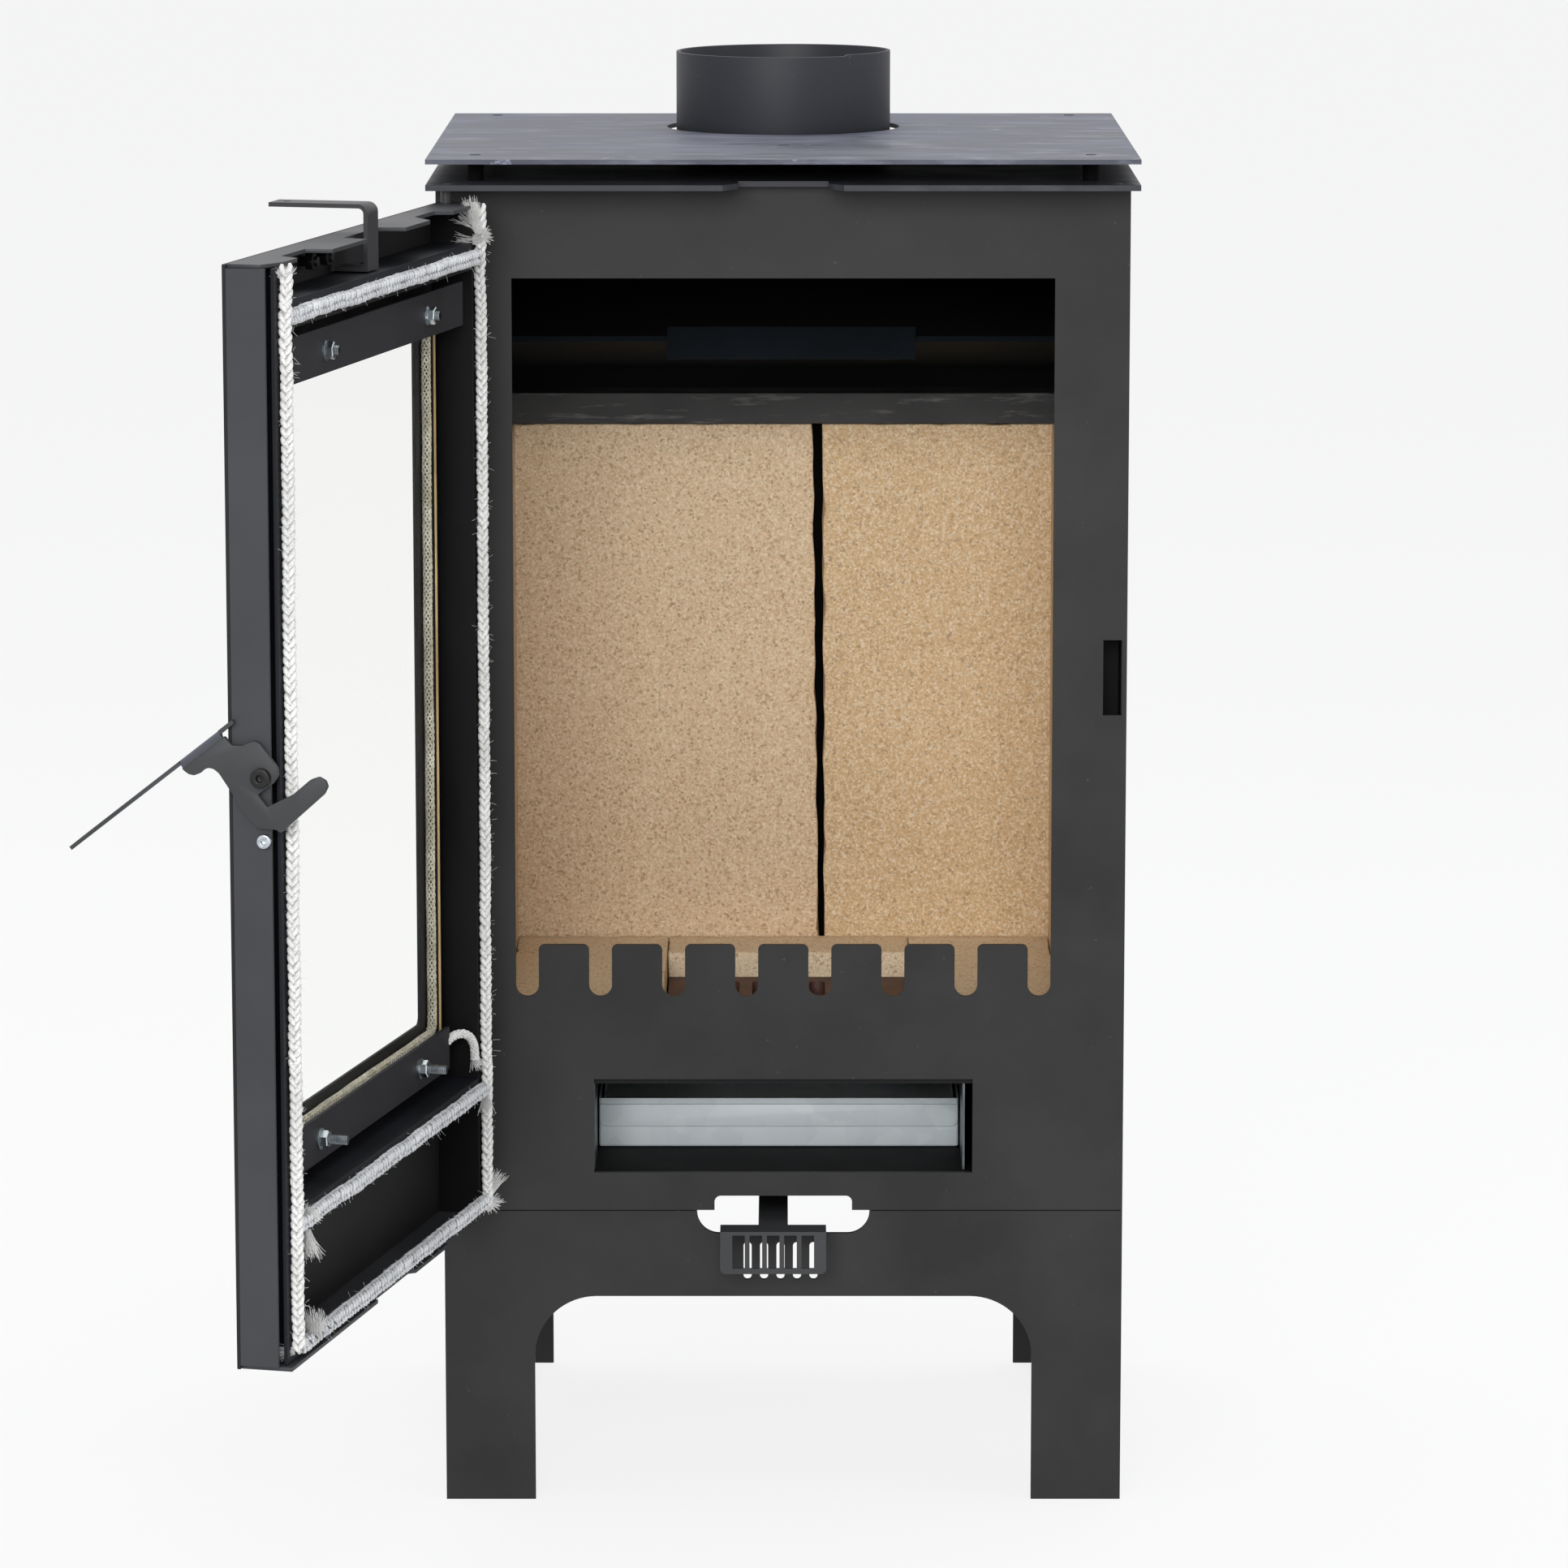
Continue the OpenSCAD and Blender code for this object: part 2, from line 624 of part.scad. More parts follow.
// Strip that carries a seal rope, with its web back to the front sheet
module rope_seat_upright(u, web_u) color("#333334") on_door() {
    block([u - seat_w/2, seat_v - door_t, door_z + door_t + 0.2],
        [u + seat_w/2, seat_v, door_top - door_t - 0.2]);
    block([web_u, skin_in, door_z + door_t + 0.2],
        [web_u + door_t, seat_v - door_t, door_top - door_t - 0.2]);
}
hinge_seat_u = door_left + door_t + seat_w/2;
latch_seat_u = rope_right - 2;
module rope_seat_hinge() rope_seat_upright(hinge_seat_u, hinge_seat_u + seat_w/2 - door_t);
module rope_seat_latch() rope_seat_upright(latch_seat_u, latch_seat_u - seat_w/2);

// Level channel between the two upright strips
module rope_seat_level(z, height) color("#333334") on_door() {
    left = hinge_seat_u + seat_w/2 + 0.2;
    right = latch_seat_u - seat_w/2 - 0.2;
    block([left, seat_v - door_t, z - height/2], [right, seat_v, z + height/2]);
    for (side = [-1, 1]) block([left, skin_in, z + side*(height/2 - door_t/2) - door_t/2],
        [right, seat_v - door_t, z + side*(height/2 - door_t/2) + door_t/2]);
}
module rope_seat_top() rope_seat_level(rope_high, seat_h);
module rope_seat_mid() rope_seat_level(rope_mid, 12);

module rope_upright(u, low, high) color("#c9c9c8") on_door()
    translate([u, rope_v, low]) cylinder(d = rope_d, h = high - low);
module seal_rope_hinge() rope_upright(rope_left, door_z + 4, door_top - 2.5);
module seal_rope_latch() rope_upright(rope_right, door_z + 8, door_top - 2.5);

module rope_level(z) color("#c9c9c8") on_door()
    translate([rope_left + rope_d/2 + 0.1, rope_v, z]) rotate([0, 90, 0])
        cylinder(d = rope_d, h = rope_right - rope_left - rope_d - 0.2);
module seal_rope_top() rope_level(rope_high);
module seal_rope_mid() rope_level(rope_mid);
module seal_rope_bottom() rope_level(rope_low);

// ---- window --------------------------------------------------------------------------------

module window_glass() color("#dfeee2") on_door()
    block([door_mid - window_w/2 - glass_lap, glass_v, glass_z],
        [door_mid + window_w/2 + glass_lap, glass_v + glass_t, glass_top]);

// Rope round the window, between the front sheet and the glass, with its loose end
module glass_rope() color("#cfc9b8") on_door() {
    r = glass_rope_d/2;
    low = window_z - ring_out;
    high = window_top + ring_out;
    left = door_mid - window_w/2 - ring_out;
    right = door_mid + window_w/2 + ring_out;
    translate([0, skin_in + r, 0]) {
        for (u = [left, right]) translate([u, 0, low]) cylinder(r = r, h = high - low);
        for (z = [low, high]) {
            translate([left, 0, z]) rotate([0, 90, 0]) cylinder(r = r, h = right - left);
            for (u = [left, right]) translate([u, 0, z]) sphere(r);
        }
    }
}

// A strip held by two studs: the lower one presses the glass against its rope
module glass_clip(z, v, length) on_door() difference() {
    block([door_mid - length/2, v, z], [door_mid + length/2, v + clip_t, z + clip_h]);
    for (side = [-1, 1]) translate([door_mid + side*stud_pitch/2, v - cut, z + clip_h/2])
        rotate([-90, 0, 0]) cylinder(d = stud_d + 0.5, h = clip_t + 2*cut);
}
module glass_clip_bottom() color("#2f2f30") glass_clip(clip_low_z, clip_v, clip_low_l);

// The upper one stands on two sleeves, so that the airwash passes between it and the glass
module glass_clip_top() color("#2f2f30") {
    glass_clip(clip_high_z, clip_v + clip_stand_off, clip_high_l);
    on_door() for (side = [-1, 1])
        translate([door_mid + side*stud_pitch/2, clip_v - 0.2, clip_high_z + clip_h/2])
            rotate([-90, 0, 0]) difference() {
                cylinder(d = stud_d + 4, h = clip_stand_off + 0.2);
                translate([0, 0, -cut]) cylinder(d = stud_d + 0.5, h = clip_stand_off + 2*cut);
            }
}

// Each stud: place along the door, height, outer face of its clip, and length past that face
function studs() = [for (side = [-1, 1])
    each [[door_mid + side*stud_pitch/2, clip_low_z + clip_h/2, clip_v + clip_t, 15],
        [door_mid + side*stud_pitch/2, clip_high_z + clip_h/2,
            clip_v + clip_stand_off + clip_t, 7]]];

module glass_clip_studs() color("#b8bcc0") on_door() for (p = studs())
    translate([p[0], clip_v, p[1]]) rotate([-90, 0, 0])
        cylinder(d = stud_d, h = p[2] - clip_v + p[3]);

// Flat washer and nut on each stud
module glass_clip_nuts() color("#c4c8cc") on_door() for (p = studs())
    translate([p[0], p[2], p[1]]) rotate([-90, 0, 0]) difference() {
        union() {
            cylinder(d = 11, h = 1);
            translate([0, 0, 1]) cylinder(d = 8/cos(30), h = 4, $fn = 6);
        }
        translate([0, 0, -cut]) cylinder(d = stud_d + 0.1, h = 10);
    }

// Two bolts that hold the airwash slide's keeper to the front sheet
module channel_bolts() color("#1f1f20") on_door() for (u = [door_mid + 38, door_mid + 62])
    translate([u, skin_in, slide_z + 9.5]) rotate([-90, 0, 0]) {
        cylinder(d = 5, h = 9);
        translate([0, 0, 3]) cylinder(d = 8/cos(30), h = 4, $fn = 6);
    }

// Shutter of the airwash and its strip, bent up through the cap and out to the front
module airwash_slide() color("#333335") on_door() {
    lever_z = lower_top + 3;
    low_v = skin_in + 0.3;
    block([lever_u - 55, low_v, slide_z], [lever_u + 13, low_v + 1.5, slide_z + 15]);
    translate([lever_u - lever_w/2, 0, 0]) rotate([90, 0, 90]) linear_extrude(lever_w) {
        translate([low_v, slide_z]) square([lever_v - low_v, lever_t]);
        translate([lever_v - lever_t, slide_z])
            square([lever_t, lever_z + lever_t - lever_bend - slide_z]);
        translate([lever_v - lever_bend, lever_z + lever_t - lever_bend]) intersection() {
            square(lever_bend);
            difference() {
                circle(lever_bend);
                circle(lever_bend - lever_t);
            }
        }
    }
    difference() {
        block([lever_u - lever_w/2, lever_v - lever_l, lever_z],
            [lever_u + lever_w/2, lever_v - lever_bend, lever_z + lever_t]);
        translate([lever_u, lever_v - lever_l + 7, lever_z - cut])
            cylinder(d = 4, h = lever_t + 2*cut);
    }
}

// ---- latch ---------------------------------------------------------------------------------

// Outline of the latch plate round its pivot, seen from the latch side: v to the right, Z up
latch_points = [[-43.2, 7.1], [-38.7, 0.4], [-35.4, -0.4], [-30.9, 2], [-26.9, 3.5], [-23.2, 1.6],
    [-14.2, -10.3], [-3.2, -24.5], [7.4, -25.7], [9, -27.7], [21.2, -17], [24.5, 0.8],
    [2.1, -14.3], [-2.8, -7.9], [1.2, -5.2], [8.2, 2.8], [8.2, 6.7], [-2.8, 18.6], [-6.1, 19],
    [-11, 15.4], [-15.1, 15.4], [-20.8, 22.9], [-21.6, 23.7]];
blade_tilt = 37.9;              // slope of the handle blade
hook_tip = [28.1, -3.6];
blade_start = [-15.1, 27.6];    // upper end of the blade
blade_clear = 9.2;              // the fold starts this far down the blade

module latch_handle() color("#3f3f41") on_door()
    translate([latch_u, latch_v, latch_z]) rotate([90, 0, 90]) {
        linear_extrude(latch_t) difference() {
            union() {
                polygon(latch_points);
                translate(hook_tip) circle(5.1);
                polygon([[21.2, -17], [24.5, 0.8], hook_tip + [3, 3], hook_tip + [4, -3]]);
            }
            circle(d = bolt_d + 2*pin_fit);
        }
        // blade, folded over in front of the door; only its edge passes beside the door
        translate([blade_start[0], blade_start[1], 0]) rotate([0, 0, 180 + blade_tilt]) {
            cube([blade_l, 2, latch_t]);
            translate([blade_clear, 0, latch_t - blade_w])
                cube([blade_l - blade_clear, 2, blade_w]);
        }
    }

module latch_pivot_bolt() color("#4a4a4c") on_door()
    translate([0, latch_v, latch_z]) rotate([90, 0, 90]) {
        translate([0, 0, door_right - 6]) cylinder(d = bolt_d, h = 6 + 0.5 + latch_t + 0.4);
        translate([0, 0, latch_u + latch_t + 0.3]) difference() {
            cylinder(d = 9.6, h = 4);
            translate([0, 0, 1.6]) cylinder(d = 4, h = 5, $fn = 6);
        }
    }

module latch_stop_screw() color("#c4c8cc") on_door()
    translate([0, stop_v, latch_z - stop_drop]) rotate([90, 0, 90]) {
        translate([0, 0, door_right - 6]) cylinder(d = stop_d, h = 6.1);
        translate([0, 0, door_right]) difference() {
            cylinder(d = 6.8, h = 4);
            translate([0, 0, 1.6]) cylinder(d = 3.4, h = 5, $fn = 6);
        }
    }

// ---- output --------------------------------------------------------------------------------

front_plate();
left_side_plate();
right_side_plate();
back_plate();
ash_floor();
firebed_shelf();
lower_top_plate();
upper_top_plate();
top_spacers();
spacer_screws();
flue_collar();
stand_front();
stand_rear();
stand_left();
stand_right();
lower_hinge_lug();
back_brick_left();
back_brick_right();
side_brick_left();
side_brick_right();
base_brick_left();
base_brick_right();
base_brick_rear();
base_brick_front();
grate();
brick_rail();
brick_retainers();
baffle_plate();
baffle_tab();
baffle_rests();
ash_guides();
shutter_guides();
ash_pan();
primary_air_slider();
door_skin();
door_top_plate();
door_bottom_plate();
door_hinge_edge();
door_latch_edge();
hinge_pins();
rope_seat_hinge();
rope_seat_latch();
rope_seat_top();
rope_seat_mid();
seal_rope_hinge();
seal_rope_latch();
seal_rope_top();
seal_rope_mid();
seal_rope_bottom();
window_glass();
glass_rope();
glass_clip_top();
glass_clip_bottom();
glass_clip_studs();
glass_clip_nuts();
channel_bolts();
airwash_slide();
latch_handle();
latch_pivot_bolt();
latch_stop_screw();
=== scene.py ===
"""Looks of a small free-standing wood stove in folded sheet steel, its glass door open."""

import json
import math
import random

import bmesh
import bpy
from mathutils import Matrix, Vector, noise


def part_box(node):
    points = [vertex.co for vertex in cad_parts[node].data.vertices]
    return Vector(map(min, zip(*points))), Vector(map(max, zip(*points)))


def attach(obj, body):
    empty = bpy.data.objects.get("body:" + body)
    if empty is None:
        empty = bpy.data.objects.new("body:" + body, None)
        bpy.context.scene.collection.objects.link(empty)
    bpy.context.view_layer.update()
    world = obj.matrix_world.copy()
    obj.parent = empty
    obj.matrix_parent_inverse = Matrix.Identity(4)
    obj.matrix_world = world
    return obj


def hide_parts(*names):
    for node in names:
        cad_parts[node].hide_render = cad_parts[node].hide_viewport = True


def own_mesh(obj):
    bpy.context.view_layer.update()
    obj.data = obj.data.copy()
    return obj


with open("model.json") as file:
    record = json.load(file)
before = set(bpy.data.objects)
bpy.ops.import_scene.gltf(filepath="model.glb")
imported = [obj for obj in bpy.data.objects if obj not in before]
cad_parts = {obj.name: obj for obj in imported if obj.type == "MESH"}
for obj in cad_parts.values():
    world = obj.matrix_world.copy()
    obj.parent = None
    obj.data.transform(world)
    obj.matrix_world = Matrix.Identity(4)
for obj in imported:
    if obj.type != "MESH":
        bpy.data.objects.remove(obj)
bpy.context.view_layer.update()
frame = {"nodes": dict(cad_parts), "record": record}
random.seed(7)
mm = 0.001

# ---- Camera ---------------------------------------------------------------------------------
# The photograph was taken 3.6 m in front of the stove from a height of 1.02 m, with a long
# lens. The aim is the middle of the picture on the stove's front plate.
camera_at = Vector((0, -3.748, 1.0237))
camera_aim = Vector((0.0004, -0.148, 0.3990))
lens = bpy.data.cameras.new("camera")
lens.sensor_width = 36
lens.lens = 155.4
lens.clip_end = 100
camera = bpy.data.objects.new("camera", lens)
camera.location = camera_at
camera.rotation_euler = (camera_aim - camera_at).to_track_quat("-Z", "Y").to_euler()
bpy.context.scene.collection.objects.link(camera)
bpy.context.scene.camera = camera
bpy.context.scene.view_settings.view_transform = "Standard"


# ---- Studio ---------------------------------------------------------------------------------
# A matt white floor without an edge in view, a white surround, and large soft boxes above and
# in front. The surround and the floor are white to the camera and in reflections.
def linear(code):
    """An sRGB hex colour as linear RGBA."""
    parts = [int(code[i:i + 2], 16)/255 for i in (1, 3, 5)]
    return [p/12.92 if p <= 0.04045 else ((p + 0.055)/1.055)**2.4 for p in parts] + [1]


def add(tree, kind, settings=(), links=()):
    """Adds one shader node, sets its inputs or properties, and links sockets into it."""
    made = tree.nodes.new("ShaderNode" + kind)
    for name, value in dict(settings).items():
        if isinstance(name, int) or name in made.inputs:
            made.inputs[name].default_value = value
        else:
            setattr(made, name, value)
    for name, socket in dict(links).items():
        tree.links.new(socket, made.inputs[name])
    return made


def new_material(name):
    """An empty material and its node tree."""
    material = bpy.data.materials.new(name)
    material.use_nodes = True
    material.node_tree.nodes.clear()
    return material, material.node_tree


def seen_directly(tree):
    """1 for camera, glossy and transmission rays."""
    path = add(tree, "LightPath")
    shiny = add(tree, "Math", {"operation": "MAXIMUM"},
                {0: path.outputs["Is Camera Ray"], 1: path.outputs["Is Glossy Ray"]})
    return add(tree, "Math", {"operation": "MAXIMUM"},
               {0: shiny.outputs[0], 1: path.outputs["Is Transmission Ray"]}).outputs[0]


white_seen = "#fbfbfb"
world = bpy.data.worlds.new("white_surround")
bpy.context.scene.world = world
world.use_nodes = True
tree = world.node_tree
tree.nodes.clear()
soft_sky = add(tree, "Background", {"Color": linear("#f2f4f7"), "Strength": 0.72})
plain_white = add(tree, "Background", {"Color": linear(white_seen), "Strength": 1.0})
either = add(tree, "MixShader", {}, {0: seen_directly(tree), 1: soft_sky.outputs[0],
                                     2: plain_white.outputs[0]})
add(tree, "OutputWorld", {}, {"Surface": either.outputs[0]})

floor_paint, tree = new_material("matt_white_floor")
matt = add(tree, "BsdfDiffuse", {"Color": linear("#efefef")})
glow = add(tree, "Emission", {"Color": linear(white_seen), "Strength": 1.0})
share = add(tree, "Math", {"operation": "MULTIPLY", 1: 0.86}, {0: seen_directly(tree)})
either = add(tree, "MixShader", {}, {0: share.outputs[0], 1: matt.outputs[0],
                                     2: glow.outputs[0]})
add(tree, "OutputMaterial", {}, {"Surface": either.outputs[0]})


def new_object(name, bm, material):
    """Turns a bmesh into an object that sits at the origin."""
    mesh = bpy.data.meshes.new(name)
    bm.to_mesh(mesh)
    bm.free()
    made = bpy.data.objects.new(name, mesh)
    bpy.context.scene.collection.objects.link(made)
    mesh.materials.append(material)
    return made


def block(low, high):
    """The matrix that makes a cube of size 1 into the block between two corners."""
    return Matrix.Translation((low + high)/2) @ Matrix.Diagonal((*(high - low), 1))


bm = bmesh.new()
bmesh.ops.create_grid(bm, x_segments=1, y_segments=1, size=40)
new_object("floor", bm, floor_paint)


def soft_box(name, place, aim, size, power):
    """A rectangular lamp aimed at a point."""
    lamp = bpy.data.lights.new(name, "AREA")
    lamp.shape = "RECTANGLE"
    lamp.size, lamp.size_y = size
    lamp.energy = power
    made = bpy.data.objects.new(name, lamp)
    made.location = place
    made.rotation_euler = (Vector(aim) - Vector(place)).to_track_quat("-Z", "Y").to_euler()
    bpy.context.scene.collection.objects.link(made)


soft_box("front_box", (-0.6, -4.2, 1.9), (0, -0.1, 0.40), (2.6, 1.6), 120)
soft_box("top_box", (0.2, 0.5, 2.9), (0, 0, 0.70), (2.4, 2.0), 38)
soft_box("side_box", (2.6, -1.2, 1.2), (0, 0, 0.45), (1.4, 1.8), 8)


# ---- Stand and casing -----------------------------------------------------------------------
# Laser-cut 3 mm sheet steel, folded and welded, then sprayed with heat-resistant silicone
# paint. The cut edges are left with a small round by the paint.
def object_points(tree, scale=(1, 1, 1), turn=(0, 0, 0)):
    """Object coordinates, stretched and turned by a Mapping node."""
    return add(tree, "Mapping", {"Scale": scale, "Rotation": turn},
               {"Vector": add(tree, "TexCoord").outputs["Object"]}).outputs[0]


def cloud(tree, points, size_mm, detail=3, rough=0.5, distortion=0.0):
    """Noise whose lumps are about size_mm across."""
    return add(tree, "TexNoise", {"Scale": 1000/size_mm, "Detail": detail,
                                  "Roughness": rough, "Distortion": distortion},
               {"Vector": points}).outputs["Fac"]


def ramp(tree, fac, low, high, low_colour, high_colour):
    """Blends two colours between two values of fac."""
    span = add(tree, "MapRange", {"From Min": low, "From Max": high}, {"Value": fac})
    mix = add(tree, "Mix", {"data_type": "RGBA"}, {0: span.outputs[0]})
    for index, colour in ((6, low_colour), (7, high_colour)):
        if isinstance(colour, str):
            mix.inputs[index].default_value = linear(colour)
        else:
            tree.links.new(colour, mix.inputs[index])
    return mix.outputs[2]


def level(tree, fac, low, high, out_low, out_high):
    """A number that goes from out_low to out_high as fac goes from low to high."""
    return add(tree, "MapRange", {"From Min": low, "From Max": high, "To Min": out_low,
                                  "To Max": out_high}, {"Value": fac}).outputs[0]


def output(tree, shader):
    add(tree, "OutputMaterial", {}, {"Surface": shader.outputs[0]})


def plain(name, colour, roughness, metallic=0.0):
    """A material of one colour."""
    material, tree = new_material(name)
    output(tree, add(tree, "BsdfPrincipled", {"Base Color": linear(colour),
                                              "Roughness": roughness, "Metallic": metallic}))
    return material


def zinc(name, cloud_mm, dark, light, roughness):
    """Zinc coat on steel, with clouds of the given size."""
    material, tree = new_material(name)
    coat = ramp(tree, cloud(tree, object_points(tree), cloud_mm), 0.35, 0.65, dark, light)
    output(tree, add(tree, "BsdfPrincipled", {"Metallic": 1.0, "Roughness": roughness},
                     {"Base Color": coat}))
    return material


# Silicone stove paint: sprayed, satin to matt, with a fine dry grain of about 0.9 mm, faint
# clouds of 90 mm where the coat is thinner, and a few pale specks of dust of about 1 mm.
def stove_paint(name, dark, light, dust="#434446", gloss=0.54, shine=0.30):
    material, tree = new_material(name)
    points = object_points(tree)
    clouds = cloud(tree, points, 90, detail=4, rough=0.55)
    coat = ramp(tree, clouds, 0.36, 0.66, dark, light)
    grain = cloud(tree, points, 0.9, detail=2, rough=0.7)
    specks = cloud(tree, points, 3.5, detail=2, rough=0.6)
    coat = ramp(tree, specks, 0.74, 0.80, coat, dust)
    bump = add(tree, "Bump", {"Strength": 0.16, "Distance": 0.00018}, {"Height": grain})
    shader = add(tree, "BsdfPrincipled", {"Specular IOR Level": shine},
                 {"Base Color": coat, "Normal": bump.outputs[0],
                  "Roughness": level(tree, clouds, 0.3, 0.7, gloss - 0.05, gloss + 0.07)})
    output(tree, shader)
    return material


front_paint = stove_paint("silicone_stove_paint", "#191919", "#282828")
side_paint = stove_paint("silicone_stove_paint_sides", "#191919", "#262626")


flat_area = 60*mm*mm            # a larger face is shaded flat
edge_angle = math.radians(40)   # an edge that folds less is shaded smooth


def soften(node, width_mm, material):
    """Stands for a CAD node with the same shape, whose sharp edges have a small round."""
    bm = bmesh.new()
    bm.from_mesh(frame["nodes"][node].data)
    bmesh.ops.remove_doubles(bm, verts=bm.verts, dist=1e-6)
    bmesh.ops.dissolve_limit(bm, angle_limit=math.radians(0.5), verts=bm.verts,
                             edges=bm.edges)
    sharp = [e for e in bm.edges if e.is_manifold and e.calc_face_angle(0) > math.radians(30)]
    bmesh.ops.bevel(bm, geom=sharp, offset=width_mm*mm, affect="EDGES", segments=2,
                    profile=0.5, material=-1, clamp_overlap=True)
    for f in bm.faces:
        f.smooth = f.calc_area() < flat_area
    for e in bm.edges:
        e.smooth = e.calc_face_angle(0) < edge_angle
    bmesh.ops.triangulate(bm, faces=[f for f in bm.faces if len(f.verts) > 4])
    made = new_object(node + "_painted", bm, material)
    if "custom_normal" in made.data.attributes:     # the CAD's own normals no longer fit
        made.data.attributes.remove(made.data.attributes["custom_normal"])
    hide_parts(node)
    dress(made, node)
    return made


def smooth(piece, degrees):
    """Smooth shading, but for edges that fold by more than the given angle."""
    piece.data.shade_smooth()
    piece.data.set_sharp_from_angle(angle=math.radians(degrees))


def inside(piece, way, material):
    """Gives a second material to the faces that look along the given direction."""
    piece.data.materials.append(material)
    for face in piece.data.polygons:
        if face.normal.dot(Vector(way)) > 0.9:
            face.material_index = 1


body_of_node = {n: body for body, nodes in frame["record"]["behaviour"]["bodies"].items()
                for n in nodes}


def dress(piece, node):
    """The piece rides with a CAD node's body."""
    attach(piece, body_of_node[node])


def paint(node, material):
    """Gives a CAD node its material."""
    data = frame["nodes"][node].data
    data.materials.clear()
    data.materials.append(material)


for node in ("stand_front", "stand_rear"):
    soften(node, 0.35, front_paint)
paint("front_plate", front_paint)
for node in ("stand_left", "stand_right"):
    soften(node, 0.35, side_paint)
# near-black primer on the casing's inner faces: partly soot, partly painted shade in the
# firebox
primer = stove_paint("sooty_primer_and_shade", "#060606", "#0c0c0c", "#1c1c1c", gloss=0.7, shine=0.1)
for node, way in (("left_side_plate", (1, 0, 0)), ("right_side_plate", (-1, 0, 0)),
                  ("back_plate", (0, -1, 0))):
    inside(soften(node, 0.35, side_paint), way, primer)
soften("lower_hinge_lug", 0.4, side_paint)

# The casing is welded on the stand from inside. The open joint between them is drawn as a
# thin dark strip, painted shade in the gap.
low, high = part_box("front_plate")
stand_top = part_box("stand_front")[1].z
joint_shade_paint = stove_paint("joint_painted_shade", "#080808", "#0c0c0c", "#141414", gloss=0.7, shine=0.1)
bm = bmesh.new()
for x0, x1 in ((low.x + 1*mm, -48*mm), (48*mm, high.x - 1*mm)):
    bmesh.ops.create_cube(bm, size=1, matrix=Matrix.Translation(
        ((x0 + x1)/2, low.y - 0.03*mm, stand_top))
        @ Matrix.Diagonal((x1 - x0, 0.16*mm, 0.55*mm, 1)))
dress(new_object("casing_joint", bm, joint_shade_paint), "front_plate")

# ---- Inside steel ---------------------------------------------------------------------------
# Floor, shelf, guides, baffle and rail: bare or primed steel, nearly black, with the grey
# scratches of handling on the rail.
inner_steel = stove_paint("primed_inner_steel", "#0a0a0a", "#111111", "#262626", gloss=0.64,
                          shine=0.2)
baffle_steel = stove_paint("primed_baffle_steel", "#0e1216", "#14191e", "#1e2022", gloss=0.8,
                           shine=0.05)
for node in ("firebed_shelf", "shutter_guides", "baffle_rests", "brick_retainers"):
    paint(node, inner_steel)
for node in ("baffle_plate", "baffle_tab"):
    paint(node, baffle_steel)
paint("ash_floor", stove_paint("ash_floor_steel", "#060606", "#0b0b0c", "#1c1c1c", gloss=0.7,
                               shine=0.1))

rail_steel, tree = new_material("scratched_rail_steel")
points = object_points(tree)
clouds = cloud(tree, points, 60, detail=4)
streaks = cloud(tree, object_points(tree, (0.12, 1, 1)), 5, detail=4, rough=0.7)
coat = ramp(tree, clouds, 0.35, 0.65, "#2c2c2c", "#3a3a3a")
coat = ramp(tree, streaks, 0.56, 0.74, coat, "#686868")
output(tree, add(tree, "BsdfPrincipled", {"Roughness": 0.55, "Specular IOR Level": 0.25},
                 {"Base Color": coat}))
soften("brick_rail", 0.4, rail_steel)

paint("ash_guides", zinc("galvanised_guide_sheet", 14, "#4e5456", "#666c6e", 0.42))


# ---- Fire bricks ----------------------------------------------------------------------------
# Pressed exfoliated vermiculite: tan board with flakes of 0.5 to 2 mm, a little paler
# or browner than the rest, and a few small pits. Sawn edges are soft and crumble a little.
def vermiculite(name, dark, light, relief=0.5):
    material, tree = new_material(name)
    points = object_points(tree)
    flakes = add(tree, "TexVoronoi", {"Scale": 1000/1.4, "Randomness": 1.0},
                 {"Vector": points})
    tint = add(tree, "SeparateColor", {}, {"Color": flakes.outputs["Color"]}).outputs[0]
    board = ramp(tree, cloud(tree, points, 120, detail=3), 0.35, 0.65, dark, light)
    coat = ramp(tree, tint, 0.0, 1.0, board, light)
    coat = ramp(tree, tint, 0.80, 0.98, coat, "#ddcbae")
    coat = ramp(tree, tint, 0.20, 0.02, coat, "#b59a79")
    grit = cloud(tree, points, 1.3, detail=3, rough=0.7)
    coat = ramp(tree, grit, 0.51, 0.70, coat, "#f0dfc4")
    coat = ramp(tree, grit, 0.45, 0.22, coat, "#a68964")
    pits = cloud(tree, points, 4.5, detail=2, rough=0.5)
    coat = ramp(tree, pits, 0.78, 0.86, coat, "#8a7052")
    height = add(tree, "Math", {"operation": "MULTIPLY_ADD", 1: 0.8},
                 {0: grit, 2: flakes.outputs["Distance"]}).outputs[0]
    bump = add(tree, "Bump", {"Strength": relief, "Distance": 0.0006}, {"Height": height})
    output(tree, add(tree, "BsdfPrincipled", {"Roughness": 0.92, "Specular IOR Level": 0.25},
                     {"Base Color": coat, "Normal": bump.outputs[0]}))
    return material


board_left = vermiculite("vermiculite_board", "#cfb291", "#dbc09e")
board_right = vermiculite("vermiculite_board_warm", "#c9ab83", "#d5b68d")
board_base = vermiculite("vermiculite_base_board", "#d2bd9f", "#dcc8aa", relief=0.12)
brick_edge = 1.5*mm             # how far in from an edge a brick crumbles


